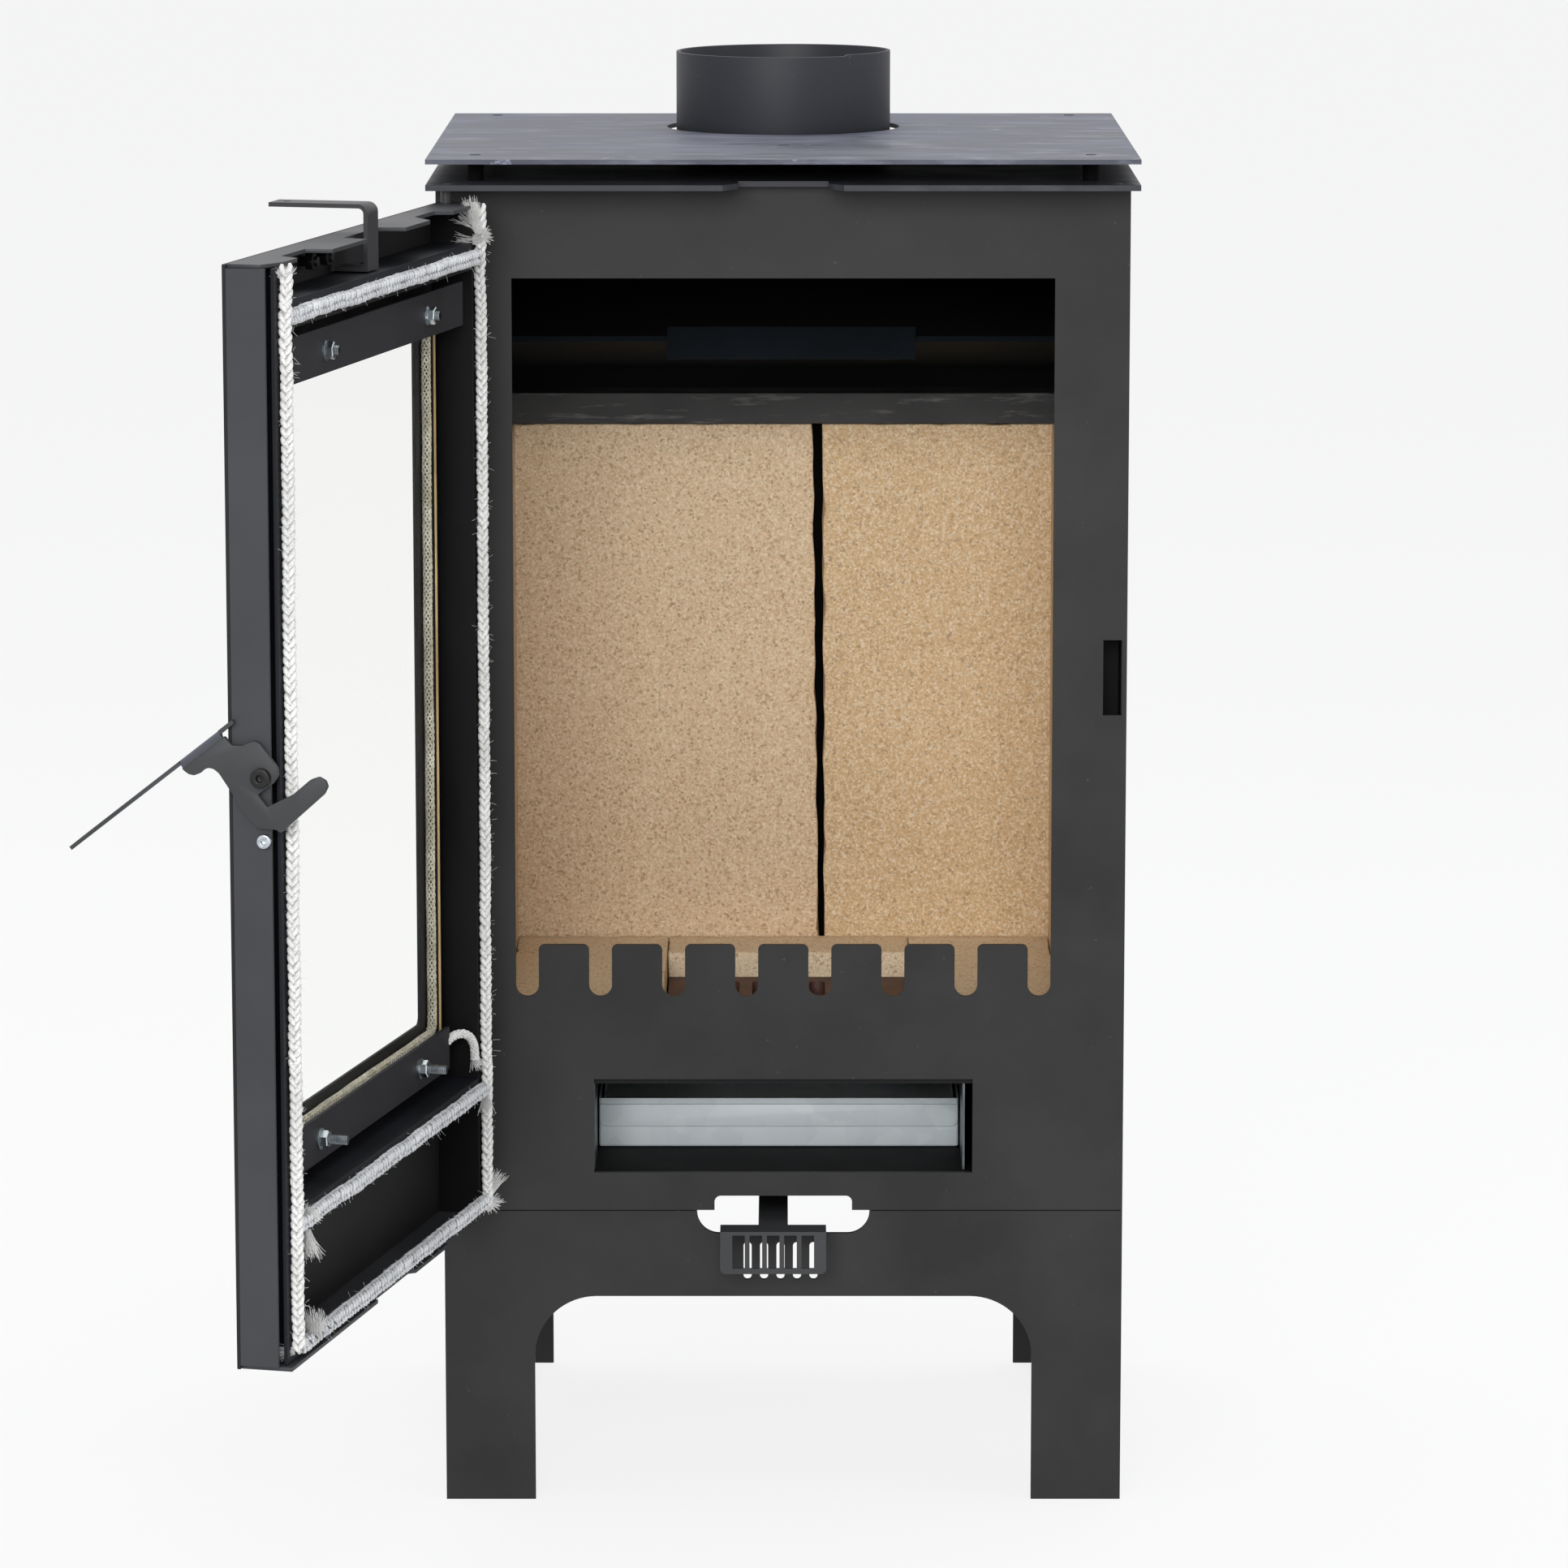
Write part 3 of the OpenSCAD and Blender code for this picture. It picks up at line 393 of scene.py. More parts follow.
def crumble(node, material, edge_shift=None):
    """A brick in place of its CAD solid, with rounded and slightly crumbled edges."""
    low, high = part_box(node)
    bm = bmesh.new()
    bmesh.ops.create_cube(bm, size=1, matrix=block(low, high))
    bmesh.ops.bevel(bm, geom=bm.edges[:], offset=1.0*mm, affect="EDGES", segments=2,
                    profile=0.5, material=-1)
    for axis in range(3):
        steps = max(2, int((high[axis] - low[axis])/(8*mm)))
        for i in range(1, steps):
            at = low.copy()
            at[axis] += (high[axis] - low[axis])*i/steps
            normal = Vector((0, 0, 0))
            normal[axis] = 1
            bmesh.ops.bisect_plane(bm, geom=bm.verts[:] + bm.edges[:] + bm.faces[:],
                                   plane_co=at, plane_no=normal)
    for v in bm.verts:
        near = sum(1 for axis in range(3)
                   if min(v.co[axis] - low[axis], high[axis] - v.co[axis]) < brick_edge)
        if near >= 2:
            inward = (low + high)/2 - v.co
            amount = max(0, noise.noise(v.co*160) - 0.12)*2.6*mm
            v.co += Vector([math.copysign(amount, inward[a])
                            if min(v.co[a] - low[a], high[a] - v.co[a]) < brick_edge else 0
                            for a in range(3)])
        if edge_shift:
            v.co.x += edge_shift(v.co, low, high)
    made = new_object(node + "_board", bm, material)
    smooth(made, 50)
    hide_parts(node)
    dress(made, node)


def broken(side, start, slant, wave, rough):
    """The gap between the back boards runs aslant and its edges are broken: how far a point
    of a board moves. The edge is at low x for side 0 and at high x for side 1."""
    def shift(co, low, high):
        if abs(co.x - (low, high)[side].x) > brick_edge:
            return 0
        up = (co.z - low.z)/(high.z - low.z)
        return (start - slant*up)*mm + noise.noise(Vector((0, wave, co.z*45)))*rough*mm
    return shift


crumble("back_brick_left", board_left, broken(1, 2.2, 4.2, 3, 1.3))
crumble("back_brick_right", board_right, broken(0, 0.8, 1.6, 9, 1.1))
crumble("side_brick_left", board_left)
crumble("side_brick_right", board_right)
for node in ("base_brick_left", "base_brick_right", "base_brick_rear", "base_brick_front"):
    crumble(node, board_base)

# ---- Grate ----------------------------------------------------------------------------------
# Grey iron casting with a brown primer: rough sand-cast skin with a grain of about 1 mm.
cast_iron, tree = new_material("primed_cast_iron")
points = object_points(tree)
coat = ramp(tree, cloud(tree, points, 18, detail=4), 0.35, 0.65, "#3a2721", "#57382e")
bump = add(tree, "Bump", {"Strength": 0.5, "Distance": 0.0005},
           {"Height": cloud(tree, points, 1.2, detail=3, rough=0.7)})
output(tree, add(tree, "BsdfPrincipled", {"Roughness": 0.62},
                 {"Base Color": coat, "Normal": bump.outputs[0]}))
soften("grate", 1.0, cast_iron)

# ---- Ash pan --------------------------------------------------------------------------------
# A drawer folded from 1 mm galvanised sheet: bright zinc with a faint spangle, a rolled lip
# all round, and the front's flap folded over the corners and down to half its height.
low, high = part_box("ash_pan")
zinc_sheet, tree = new_material("galvanised_sheet")
points = object_points(tree)
spangle = add(tree, "TexVoronoi", {"Scale": 1000/11, "Randomness": 1.0}, {"Vector": points})
tint = add(tree, "SeparateColor", {}, {"Color": spangle.outputs["Color"]}).outputs[0]
coat = ramp(tree, tint, 0.0, 1.0, "#c3cbce", "#ccd4d6")
smears = cloud(tree, object_points(tree, (0.25, 1, 1)), 16, detail=3)
output(tree, add(tree, "BsdfPrincipled", {"Metallic": 0.12},
                 {"Base Color": coat,
                  "Roughness": level(tree, smears, 0.35, 0.65, 0.42, 0.50)}))

lip_r = 1.6*mm
bm = bmesh.new()
bmesh.ops.create_cube(bm, size=1, matrix=block(low, high))
top_face = max(bm.faces, key=lambda f: f.calc_center_median().z)
bmesh.ops.bevel(bm, geom=[e for e in bm.edges if e not in top_face.edges], offset=1.4*mm,
                affect="EDGES", segments=3, profile=0.5, material=-1)
top_face = max(bm.faces, key=lambda f: f.calc_center_median().z)
bmesh.ops.delete(bm, geom=[top_face], context="FACES_ONLY")
bmesh.ops.recalc_face_normals(bm, faces=bm.faces)
bmesh.ops.solidify(bm, geom=bm.faces[:], thickness=1.0*mm)
pan = new_object("ash_pan_tray", bm, zinc_sheet)
smooth(pan, 40)
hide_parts("ash_pan")
dress(pan, "ash_pan")

bm = bmesh.new()        # rolled lip: a closed tube round the rim
corners = [Vector((x, y, high.z - lip_r)) for x, y in
           ((low.x + lip_r, low.y + lip_r), (high.x - lip_r, low.y + lip_r),
            (high.x - lip_r, high.y - lip_r), (low.x + lip_r, high.y - lip_r))]
for i, start in enumerate(corners):
    end = corners[(i + 1) % 4]
    turn = (end - start).to_track_quat("Z", "Y").to_matrix().to_4x4()
    bmesh.ops.create_cone(bm, segments=16, radius1=lip_r, radius2=lip_r, cap_ends=True,
                          depth=(end - start).length,
                          matrix=Matrix.Translation((start + end)/2) @ turn)
    bmesh.ops.create_uvsphere(bm, u_segments=16, v_segments=10, radius=lip_r,
                              matrix=Matrix.Translation(start))
lip = new_object("ash_pan_lip", bm, plain("polished_zinc_lip", "#f4f7f8", 0.22, 1.0))
smooth(lip, 50)
dress(lip, "ash_pan")

bm = bmesh.new()        # front flap, with round lower corners
flap_low = high.z - 15.6*mm
bmesh.ops.create_cube(bm, size=1, matrix=Matrix.Translation(
    ((low.x + high.x)/2, low.y - 0.7*mm, (flap_low + high.z - 2*lip_r)/2))
    @ Matrix.Diagonal((high.x - low.x - 1.0*mm, 1.2*mm, high.z - 2*lip_r - flap_low, 1)))
bottom_corners = [e for e in bm.edges if abs(e.verts[0].co.y - e.verts[1].co.y) > 0.3*mm
                  and e.verts[0].co.z < (flap_low + high.z)/2]
bmesh.ops.bevel(bm, geom=bottom_corners, offset=4*mm, affect="EDGES", segments=6,
                profile=0.5, material=-1)
bmesh.ops.bevel(bm, geom=[e for e in bm.edges if e.calc_face_angle(0) > 1], offset=0.25*mm,
                affect="EDGES", segments=2, profile=0.5, material=-1)
flap = new_object("ash_pan_flap", bm, zinc_sheet)
smooth(flap, 40)
dress(flap, "ash_pan")

# ---- Primary air slider ---------------------------------------------------------------------
# Shutter, tongue and pull, laser-cut and folded from 2 mm steel, painted with the casing.
soften("primary_air_slider", 0.4,
       stove_paint("silicone_stove_paint_pull", "#303133", "#37383a", gloss=0.46))

# ---- Top plates and spacers -----------------------------------------------------------------
# Two laser-cut plates an air gap apart. The paint has been wiped: grey-blue, with long soft
# streaks from side to side, a few short scratches and paler scuffs. The upper plate's pale
# blue-grey is partly a painted reflection of the bright surround at a grazing view; the lower
# plate's darker copy is painted shade under the upper plate.
def top_paint(name, dark, light, wipe, scuff):
    material, tree = new_material(name)
    points = object_points(tree)
    wipes = cloud(tree, object_points(tree, (0.55, 1, 1), (0, 0, 0.12)), 48, detail=4,
                  rough=0.55, distortion=0.6)
    streaks = cloud(tree, object_points(tree, (0.28, 1, 1), (0, 0, 0.10)), 14, detail=4,
                    rough=0.65)
    coat = ramp(tree, wipes, 0.40, 0.62, dark, light)
    coat = ramp(tree, streaks, 0.50, 0.72, coat, wipe)
    scuffs = cloud(tree, points, 26, detail=5, rough=0.72)
    coat = ramp(tree, scuffs, 0.655, 0.72, coat, scuff)
    bump = add(tree, "Bump", {"Strength": 0.14, "Distance": 0.00018},
               {"Height": cloud(tree, points, 0.9, detail=2, rough=0.7)})
    output(tree, add(tree, "BsdfPrincipled", {"Specular IOR Level": 0.3},
                     {"Base Color": coat, "Normal": bump.outputs[0],
                      "Roughness": level(tree, wipes, 0.36, 0.64, 0.42, 0.62)}))
    return material


# upper plate: real wipes and scuffs, its pale blue-grey partly a painted reflection
upper_paint_and_reflection = top_paint("wiped_stove_paint_and_reflection", "#3e404b", "#5a5c68", "#6c6e7b", "#86889b")
# lower plate: a darker copy of the same paint, painted shade under the upper plate
lower_shaded_paint = top_paint("wiped_stove_paint_lower_shaded", "#2a2b2f", "#34353a", "#404147", "#57595f")
soften("upper_top_plate", 0.4, upper_paint_and_reflection)
soften("lower_top_plate", 0.4, lower_shaded_paint)
# the spacers stand in the gap between the plates and are near-black: painted shade
paint("top_spacers", stove_paint("spacer_paint_shaded", "#060607", "#0b0b0c", "#1a1a1b", gloss=0.75,
                                 shine=0.1))

# Countersunk hexagon-socket screws, painted over, flush with the plate
screw_paint = stove_paint("painted_screw_heads", "#43444b", "#54555c", gloss=0.45)
bm = bmesh.new()
screw_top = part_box("spacer_screws")[1].z
plate_low, plate_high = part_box("upper_top_plate")
screw_places = [(x, y) for x in (plate_low.x + 25*mm, plate_high.x - 25*mm)
                for y in (plate_low.y + 33*mm, plate_high.y - 15*mm)]
screw_places.append((0, plate_low.y + 98*mm))
for x, y in screw_places:
    made = bmesh.ops.create_cone(bm, segments=32, radius1=1.9*mm, radius2=2.85*mm,
                                 depth=2.4*mm, cap_ends=True,
                                 matrix=Matrix.Translation((x, y, screw_top - 1.2*mm)))
    top = max((f for v in made["verts"] for f in v.link_faces),
              key=lambda f: f.calc_center_median().z)
    bmesh.ops.inset_region(bm, faces=[top], thickness=1.15*mm)
    bmesh.ops.translate(bm, verts=top.verts, vec=(0, 0, -1.5*mm))
screws = new_object("spacer_screw_heads", bm, screw_paint)
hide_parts("spacer_screws")
dress(screws, "spacer_screws")

# ---- Flue collar ----------------------------------------------------------------------------
# Rolled from 2 mm sheet to 120 mm outside. Its ends overlap in a step that shows at the rim
# and as an upright line. Painted dark grey-blue.
collar_paint = stove_paint("silicone_collar_paint", "#212227", "#282930", gloss=0.52)
low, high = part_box("flue_collar")
collar_x, collar_y = (low.x + high.x)/2, (low.y + high.y)/2
bore_r = (high.x - low.x)/2 - 2.2*mm
seam_at = math.radians(-54)         # the seam, seen from the front right
bm = bmesh.new()
ring = [bm.verts.new((collar_x + bore_r*math.cos(seam_at),
                      collar_y + bore_r*math.sin(seam_at), z))
        for z in (low.z, high.z)]
seam_edge = bm.edges.new(ring)
bmesh.ops.spin(bm, geom=[*ring, seam_edge], cent=(collar_x, collar_y, 0), axis=(0, 0, 1),
               angle=math.radians(363), steps=180, use_merge=False)     # 3 degrees overlap
for v in bm.verts:                  # the sheet's end climbs over its start
    angle = (math.atan2(v.co.y - collar_y, v.co.x - collar_x) - seam_at) % math.tau
    v.co.z -= 0.0 if v.co.z < high.z - 1*mm else 0.9*mm*min(1, angle/math.radians(150))
bmesh.ops.recalc_face_normals(bm, faces=bm.faces)
collar = new_object("flue_collar_rolled", bm, collar_paint)
wall = collar.modifiers.new("wall", "SOLIDIFY")
wall.thickness = 2*mm
wall.offset = 1
edge = collar.modifiers.new("edge", "BEVEL")
edge.width = 0.35*mm
edge.segments = 2
edge.limit_method = "ANGLE"
edge.angle_limit = math.radians(50)
collar.data.shade_smooth()
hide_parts("flue_collar")
dress(collar, "flue_collar")

# ---- Door -----------------------------------------------------------------------------------
# A tray folded from 2 mm steel with welded channels for the ropes, painted like the casing.
# Its latch edge catches the light and looks a little paler.
door_paint = stove_paint("silicone_stove_paint_door", "#151516", "#1b1b1c", shine=0.24)
edge_paint = stove_paint("silicone_stove_paint_edge", "#303134", "#37383b", gloss=0.46)
channel_paint = stove_paint("silicone_stove_paint_channel", "#0d0f14", "#14161d", gloss=0.55,
                            shine=0.22)
soften("door_skin", 0.5, door_paint)
soften("door_latch_edge", 0.5, edge_paint)
for node in ("door_top_plate", "door_bottom_plate"):
    soften(node, 0.4, edge_paint)
tray_paint = stove_paint("silicone_stove_paint_tray", "#0c0e13", "#12151c", "#242428",
                         gloss=0.6, shine=0.11)
soften("door_hinge_edge", 0.3, tray_paint)
for node in ("rope_seat_latch", "rope_seat_top", "rope_seat_mid"):
    soften(node, 0.3, channel_paint)
soften("rope_seat_hinge", 0.3, stove_paint("silicone_stove_paint_hinge_channel", "#08080a",
                                           "#0d0d0f", "#1c1c1f", gloss=0.5, shine=0.16))
paint("hinge_pins", stove_paint("hinge_pin_steel", "#2b2b2d", "#3a3b3d", gloss=0.4))

# ---- Window ---------------------------------------------------------------------------------
# Glass ceramic, 4 mm thick: clear through the face, honey-yellow along its cut edge. The
# photograph shows no reflection in it, so its index is set low.
door_turn = math.radians(-104)
hinge_place = Vector((-0.178, -0.174, 0))


def on_door(u, v, z):
    """A point of the shut door, in millimetres from the hinge axis, u along the door and v
    towards the casing, moved to the open door."""
    flat = Matrix.Rotation(door_turn, 3, "Z") @ Vector((u, v, z))
    return hinge_place + flat*mm


door_frame = Matrix.Translation(hinge_place) @ Matrix.Rotation(door_turn, 4, "Z")


def door_block(bm, low, high):
    """A block between two corners given in the shut door's millimetres."""
    bmesh.ops.create_cube(bm, size=1,
                          matrix=door_frame @ block(Vector(low)*mm, Vector(high)*mm))


glass_clear, tree = new_material("glass_ceramic")
output(tree, add(tree, "BsdfPrincipled", {
    "Base Color": linear("#fdfefc"), "Roughness": 0.0, "IOR": 1.02,
    "Transmission Weight": 1.0}))
glass_edge, tree = new_material("glass_ceramic_cut_edge")
coat = ramp(tree, cloud(tree, object_points(tree, (1, 1, 0.15)), 6), 0.35, 0.65,
            "#a98c60", "#cfb283")
output(tree, add(tree, "BsdfPrincipled", {"Roughness": 0.25}, {"Base Color": coat}))

bm = bmesh.new()
door_block(bm, (34, 1.6, 268), (312, 5.6, 669))
window = new_object("window_glass_pane", bm, glass_clear)
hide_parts("window_glass")
dress(window, "window_glass")

bm = bmesh.new()        # the yellow line that the cut edge shows through the face
for low, high in (((34, 1.9, 268.5), (34.5, 3.3, 668.5)),
                  ((34.5, 1.9, 268.5), (311.4, 3.3, 269.0))):
    door_block(bm, low, high)
edge_line = new_object("window_glass_cut_edge", bm, glass_edge)
dress(edge_line, "window_glass")

clip_paint = stove_paint("silicone_clip_paint", "#1b1b1e", "#242429", gloss=0.64, shine=0.24)
for node in ("glass_clip_top", "glass_clip_bottom"):
    soften(node, 0.3, clip_paint)

# ---- Studs, washers and nuts ----------------------------------------------------------------
# M5 zinc-plated studs with turned threads, flat washers and hexagon nuts with chamfered
# corners. Bright plating with a cool cast and clouds of 3 mm.
zinc_plate = zinc("zinc_plated_steel", 3, "#aeb6bb", "#c9d0d4", 0.28)
# Place along the door, height, outer face of the clip, and length of stud past that face
stud_places = [(173 + side*85.5, z, v, out)
               for z, v, out in ((266.5, 7.9, 15), (664.5, 15.6, 7)) for side in (-1, 1)]


def door_turned(u, v, z):
    """Places a Z-up shape on the door so that it stands along v."""
    return door_frame @ Matrix.Translation(Vector((u, v, z))*mm) \
        @ Matrix.Rotation(math.radians(-90), 4, "X")


def hexagon_nut(bm, place, across, height):
    """A hexagon with chamfered rims, standing on its place."""
    made = bmesh.ops.create_cone(bm, segments=6, radius1=across/2/math.cos(math.pi/6),
                                 radius2=across/2/math.cos(math.pi/6), depth=height,
                                 cap_ends=True,
                                 matrix=place @ Matrix.Translation((0, 0, height/2)))
    caps = {f for v in made["verts"] for f in v.link_faces if len(f.verts) == 6}
    bmesh.ops.bevel(bm, geom=list({e for f in caps for e in f.edges}), offset=height*0.12,
                    affect="EDGES", segments=1, profile=0.5, material=-1)


bm = bmesh.new()
for u, z, v, out in stud_places:
    bmesh.ops.create_cone(bm, segments=40, radius1=5.5*mm, radius2=5.5*mm, depth=1*mm,
                          cap_ends=True, matrix=door_turned(u, v + 0.5, z))
    hexagon_nut(bm, door_turned(u, v + 1, z) @ Matrix.Rotation(0.3 + u, 4, "Z"),
                8*mm, 4*mm)
nuts = new_object("stud_nuts_and_washers", bm, zinc_plate)
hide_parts("glass_clip_nuts")
dress(nuts, "glass_clip_nuts")

# The thread is a row of rings, one for each turn of 0.8 mm
half_turn, root_r, crest_r = 0.4, 2.15, 2.5
bm = bmesh.new()
for u, z, v, out in stud_places:
    at = 5.9                    # just past the glass
    while at < v + out - half_turn:
        for r1, r2 in ((root_r, crest_r), (crest_r, root_r)):
            bmesh.ops.create_cone(bm, segments=20, radius1=r1*mm, radius2=r2*mm,
                                  depth=half_turn*mm, cap_ends=True,
                                  matrix=door_turned(u, at + half_turn/2, z))
            at += half_turn
# the threads take a darker copy of the zinc plating: painted shade on the studs
studs = new_object("threaded_studs", bm,
                   zinc("zinc_plated_thread_shaded", 3, "#6c7175", "#8b9195", 0.28))
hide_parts("glass_clip_studs")
dress(studs, "glass_clip_studs")
bolt_paint = stove_paint("blackened_bolts", "#101011", "#1a1a1b", gloss=0.45)
soften("channel_bolts", 0.3, bolt_paint)

# ---- Seal ropes -----------------------------------------------------------------------------
# Soft glass fibre rope, 7 mm, plaited from fat yarns in four columns round a core and glued
# into the channels. Loose fibres stand off along it and the cut ends fray into brushes.
def glass_fibre(name, shade, dark="#d2d2d0", light="#e6e6e4"):
    """White glass fibre yarn, with its fine threads; shade is the painted shade of its
    hollows.
    """
    material, tree = new_material(name)
    points = object_points(tree)
    coat = ramp(tree, cloud(tree, points, 25, detail=3), 0.35, 0.65, dark, light)
    threads = cloud(tree, points, 0.9, detail=3, rough=0.7)
    coat = ramp(tree, threads, 0.52, 0.25, coat, "#94938d")
    # painted shade: the deeper a point lies below its stitch's crown, the more it takes shade
    sunk = add(tree, "Attribute", {"attribute_name": "sunk"}).outputs["Fac"]
    coat = ramp(tree, sunk, 0.16, 0.44, coat, shade)
    bump = add(tree, "Bump", {"Strength": 0.5, "Distance": 0.0003}, {"Height": threads})
    output(tree, add(tree, "BsdfPrincipled", {"Roughness": 0.75, "Sheen Weight": 0.25,
                                              "Specular IOR Level": 0.4},
                     {"Base Color": coat, "Normal": bump.outputs[0]}))
    return material


rope_fibre = glass_fibre("glass_fibre_rope", "#cbcac7")
# level ropes: a darker, cooler copy with darker hollows, painted shade of their shadow side
level_shaded_fibre = glass_fibre("glass_fibre_rope_level_shaded", "#62656a", "#c3c5c9", "#dadbde")
rope_core = plain("glass_fibre_rope_core", "#a9a8a4", 0.9)      # in the shade of the yarns


def curve_piece(name, runs, thickness, material, sides=0, taper=None):
    """Runs of points as thin round yarns, made one mesh; taper scales each run's points."""
    curve = bpy.data.curves.new(name, "CURVE")
    curve.dimensions = "3D"
    curve.bevel_depth = thickness/2
    curve.bevel_resolution = sides
    curve.use_fill_caps = True
    for run in runs:
        spline = curve.splines.new("POLY")
        spline.points.add(len(run) - 1)
        for i, place in enumerate(run):
            spline.points[i].co = (*place, 1)
            spline.points[i].radius = taper[i] if taper else 1
    holder = bpy.data.objects.new(name + "_curve", curve)
    bpy.context.scene.collection.objects.link(holder)
    mesh = bpy.data.meshes.new_from_object(holder)
    bpy.data.objects.remove(holder)
    bpy.data.curves.remove(curve)
    mesh.name = name
    mesh.materials.clear()
    mesh.materials.append(material)
    mesh.shade_smooth()
    made = bpy.data.objects.new(name, mesh)
    bpy.context.scene.collection.objects.link(made)
    return made


def along(path, step):
    """Points a step apart along a path, with a frame of two side directions at each."""
    total = sum((b - a).length for a, b in zip(path, path[1:]))
    count = max(2, int(total/step))
    out, walked, piece = [], 0, 0
    for i in range(count + 1):
        want = total*i/count
        while piece < len(path) - 2 and walked + (path[piece + 1] - path[piece]).length < want:
            walked += (path[piece + 1] - path[piece]).length
            piece += 1
        a, b = path[piece], path[piece + 1]
        out.append(a.lerp(b, min(1, (want - walked)/max((b - a).length, 1e-9))))
    frames, side = [], None
    for i, p in enumerate(out):
        ahead = (out[min(i + 1, count)] - out[max(i - 1, 0)]).normalized()
        side = ahead.orthogonal() if side is None else side - ahead*side.dot(ahead)
        side.normalize()
        frames.append((total*i/count, p, side.copy(), ahead.cross(side)))
    return frames


def braid(name, path, radius, yarns, pitch, thickness, material, wander=0.0):
    """A rope braided from two sets of yarns that pass over and under each other."""
    frames = along(path, pitch/yarns/4)
    seed = Vector((len(name), 0, sum(map(ord, name))*0.37))
    centre, core = [], []
    for s, p, a, b in frames:
        p = p + a*noise.noise(seed + Vector((s*35, 0, 0)))*wander \
            + b*noise.noise(seed + Vector((s*35, 5, 0)))*wander
        centre.append((s, p, a, b))
        core.append(p)
    runs = []
    for way in (1, -1):
        for k in range(yarns):
            run = []
            for s, p, a, b in centre:
                angle = way*math.tau*s/pitch + math.tau*k/yarns
                r = radius - thickness*0.80 + way*thickness*0.30*math.cos(
                    math.tau*yarns*s/pitch)
                run.append(p + (a*math.cos(angle) + b*math.sin(angle))*r)
            runs.append(run)
    made = curve_piece(name, runs, thickness, material)
    inner = curve_piece(name + "_core", [core[::3]], (radius - thickness*1.05)*2, rope_core, 2)
    return made, inner


def plait(name, path, radius, row, thickness, material, wander, tall):
    """A square plait: four columns of short slanted stitches, each a fat yarn's bulge. It is
    tall times as high as wide."""
    frames = along(path, row)
    seed = Vector((len(name), 0, sum(map(ord, name))*0.37))
    runs, core = [], []
    for s, p, a, b in frames:
        p = p + a*noise.noise(seed + Vector((s*35, 0, 0)))*wander \
            + b*noise.noise(seed + Vector((s*35, 5, 0)))*wander
        core.append(p)
        for column in range(4):
            way = 1 if column % 2 else -1
            middle = math.radians(90*column + random.uniform(-9, 9))
            lift = random.uniform(0.90, 1.05)
            slip = row*(column/4 + random.uniform(-0.12, 0.12))
            run = []
            for t in (-1, -0.5, 0, 0.5, 1):
                angle = middle + math.radians(52)*t
                r = (radius - thickness/2)*lift*(1 - 0.24*t*t)
                out = (a*math.cos(angle) + b*math.sin(angle))*r
                out.z *= tall
                run.append(p + out + a.cross(b)*(slip + way*t*row*0.62))
            runs.append(run)
    made = curve_piece(name, runs, thickness, material, 1, (0.55, 0.92, 1, 0.92, 0.55))
    sunk = made.data.attributes.new("sunk", "FLOAT", "POINT")   # depth below the crown, 0 to 1, that sets the painted shade
    way = (path[-1] - path[0]).normalized()
    step = (path[-1] - path[0]).length/(len(core) - 1)
    for v in made.data.vertices:
        at = min(len(core) - 1, max(0, round((v.co - path[0]).dot(way)/step)))
        off = v.co - core[at]
        off -= way*off.dot(way)
        off.z /= tall
        sunk.data[v.index].value = max(0, 1 - off.length/radius)
    inner = curve_piece(name + "_core", [core], (radius - thickness*0.72)*2, rope_core, 2)
    return made, inner


rope_v = 22.2               # middle of the CAD's ropes
plait_v = rope_v - 0.4      # the plaits lie a little deeper in the channels
rope_runs = {
    "seal_rope_hinge": [(10.5, 174.5), (10.5, 710)],
    "seal_rope_latch": [(339, 178.5), (339, 709)],
    "seal_rope_top": [(15.5, 688.5), (334, 688.5)],
    "seal_rope_mid": [(15.5, 240.5), (334, 240.5)],
    "seal_rope_bottom": [(15.5, 179), (334, 179)],
}
for node, ends in rope_runs.items():
    path = [on_door(u, plait_v, z) for u, z in ends]
    radius = 3.65*mm if node == "seal_rope_hinge" else 3.85*mm
    upright = ends[0][0] == ends[1][0]      # the level ropes are pressed taller
    tall = 1.0 if upright else 1.34 if node == "seal_rope_top" else 1.22
    rope, core = plait(node + "_plait", path, radius, 4.3*mm, 2.95*mm,
                       rope_fibre if upright else level_shaded_fibre, 0.7*mm, tall)
    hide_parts(node)
    dress(rope, node)
    dress(core, node)


def door_way(u, v, z):
    """A direction on the shut door, turned with the open door."""
    return (door_frame.to_3x3() @ Vector((u, v, z))).normalized()


def brush(place, way, spread, count, length):
    """Frayed yarn: fibres that leave a point of the door in a cone and bend as they go."""
    start, ahead = on_door(*place), door_way(*way)
    side = ahead.orthogonal().normalized()
    other = ahead.cross(side)
    sway = Vector([random.uniform(-0.3, 0.3) for _ in range(3)])
    for _ in range(count):
        turn, lean = random.uniform(0, math.tau), random.random()**0.7*spread
        out = side*math.cos(turn) + other*math.sin(turn)
        straight = (ahead*math.cos(lean) + out*math.sin(lean)).normalized()
        root = start + out*random.uniform(0, 2.2*mm)
        reach = length*mm*random.uniform(0.55, 1)
        bend = sway + Vector([random.uniform(-0.25, 0.25) for _ in range(3)])
        fibres.append([root + (straight*t + bend*t*t*0.5)*reach
                       for t in (0, 0.25, 0.5, 0.75, 1)])


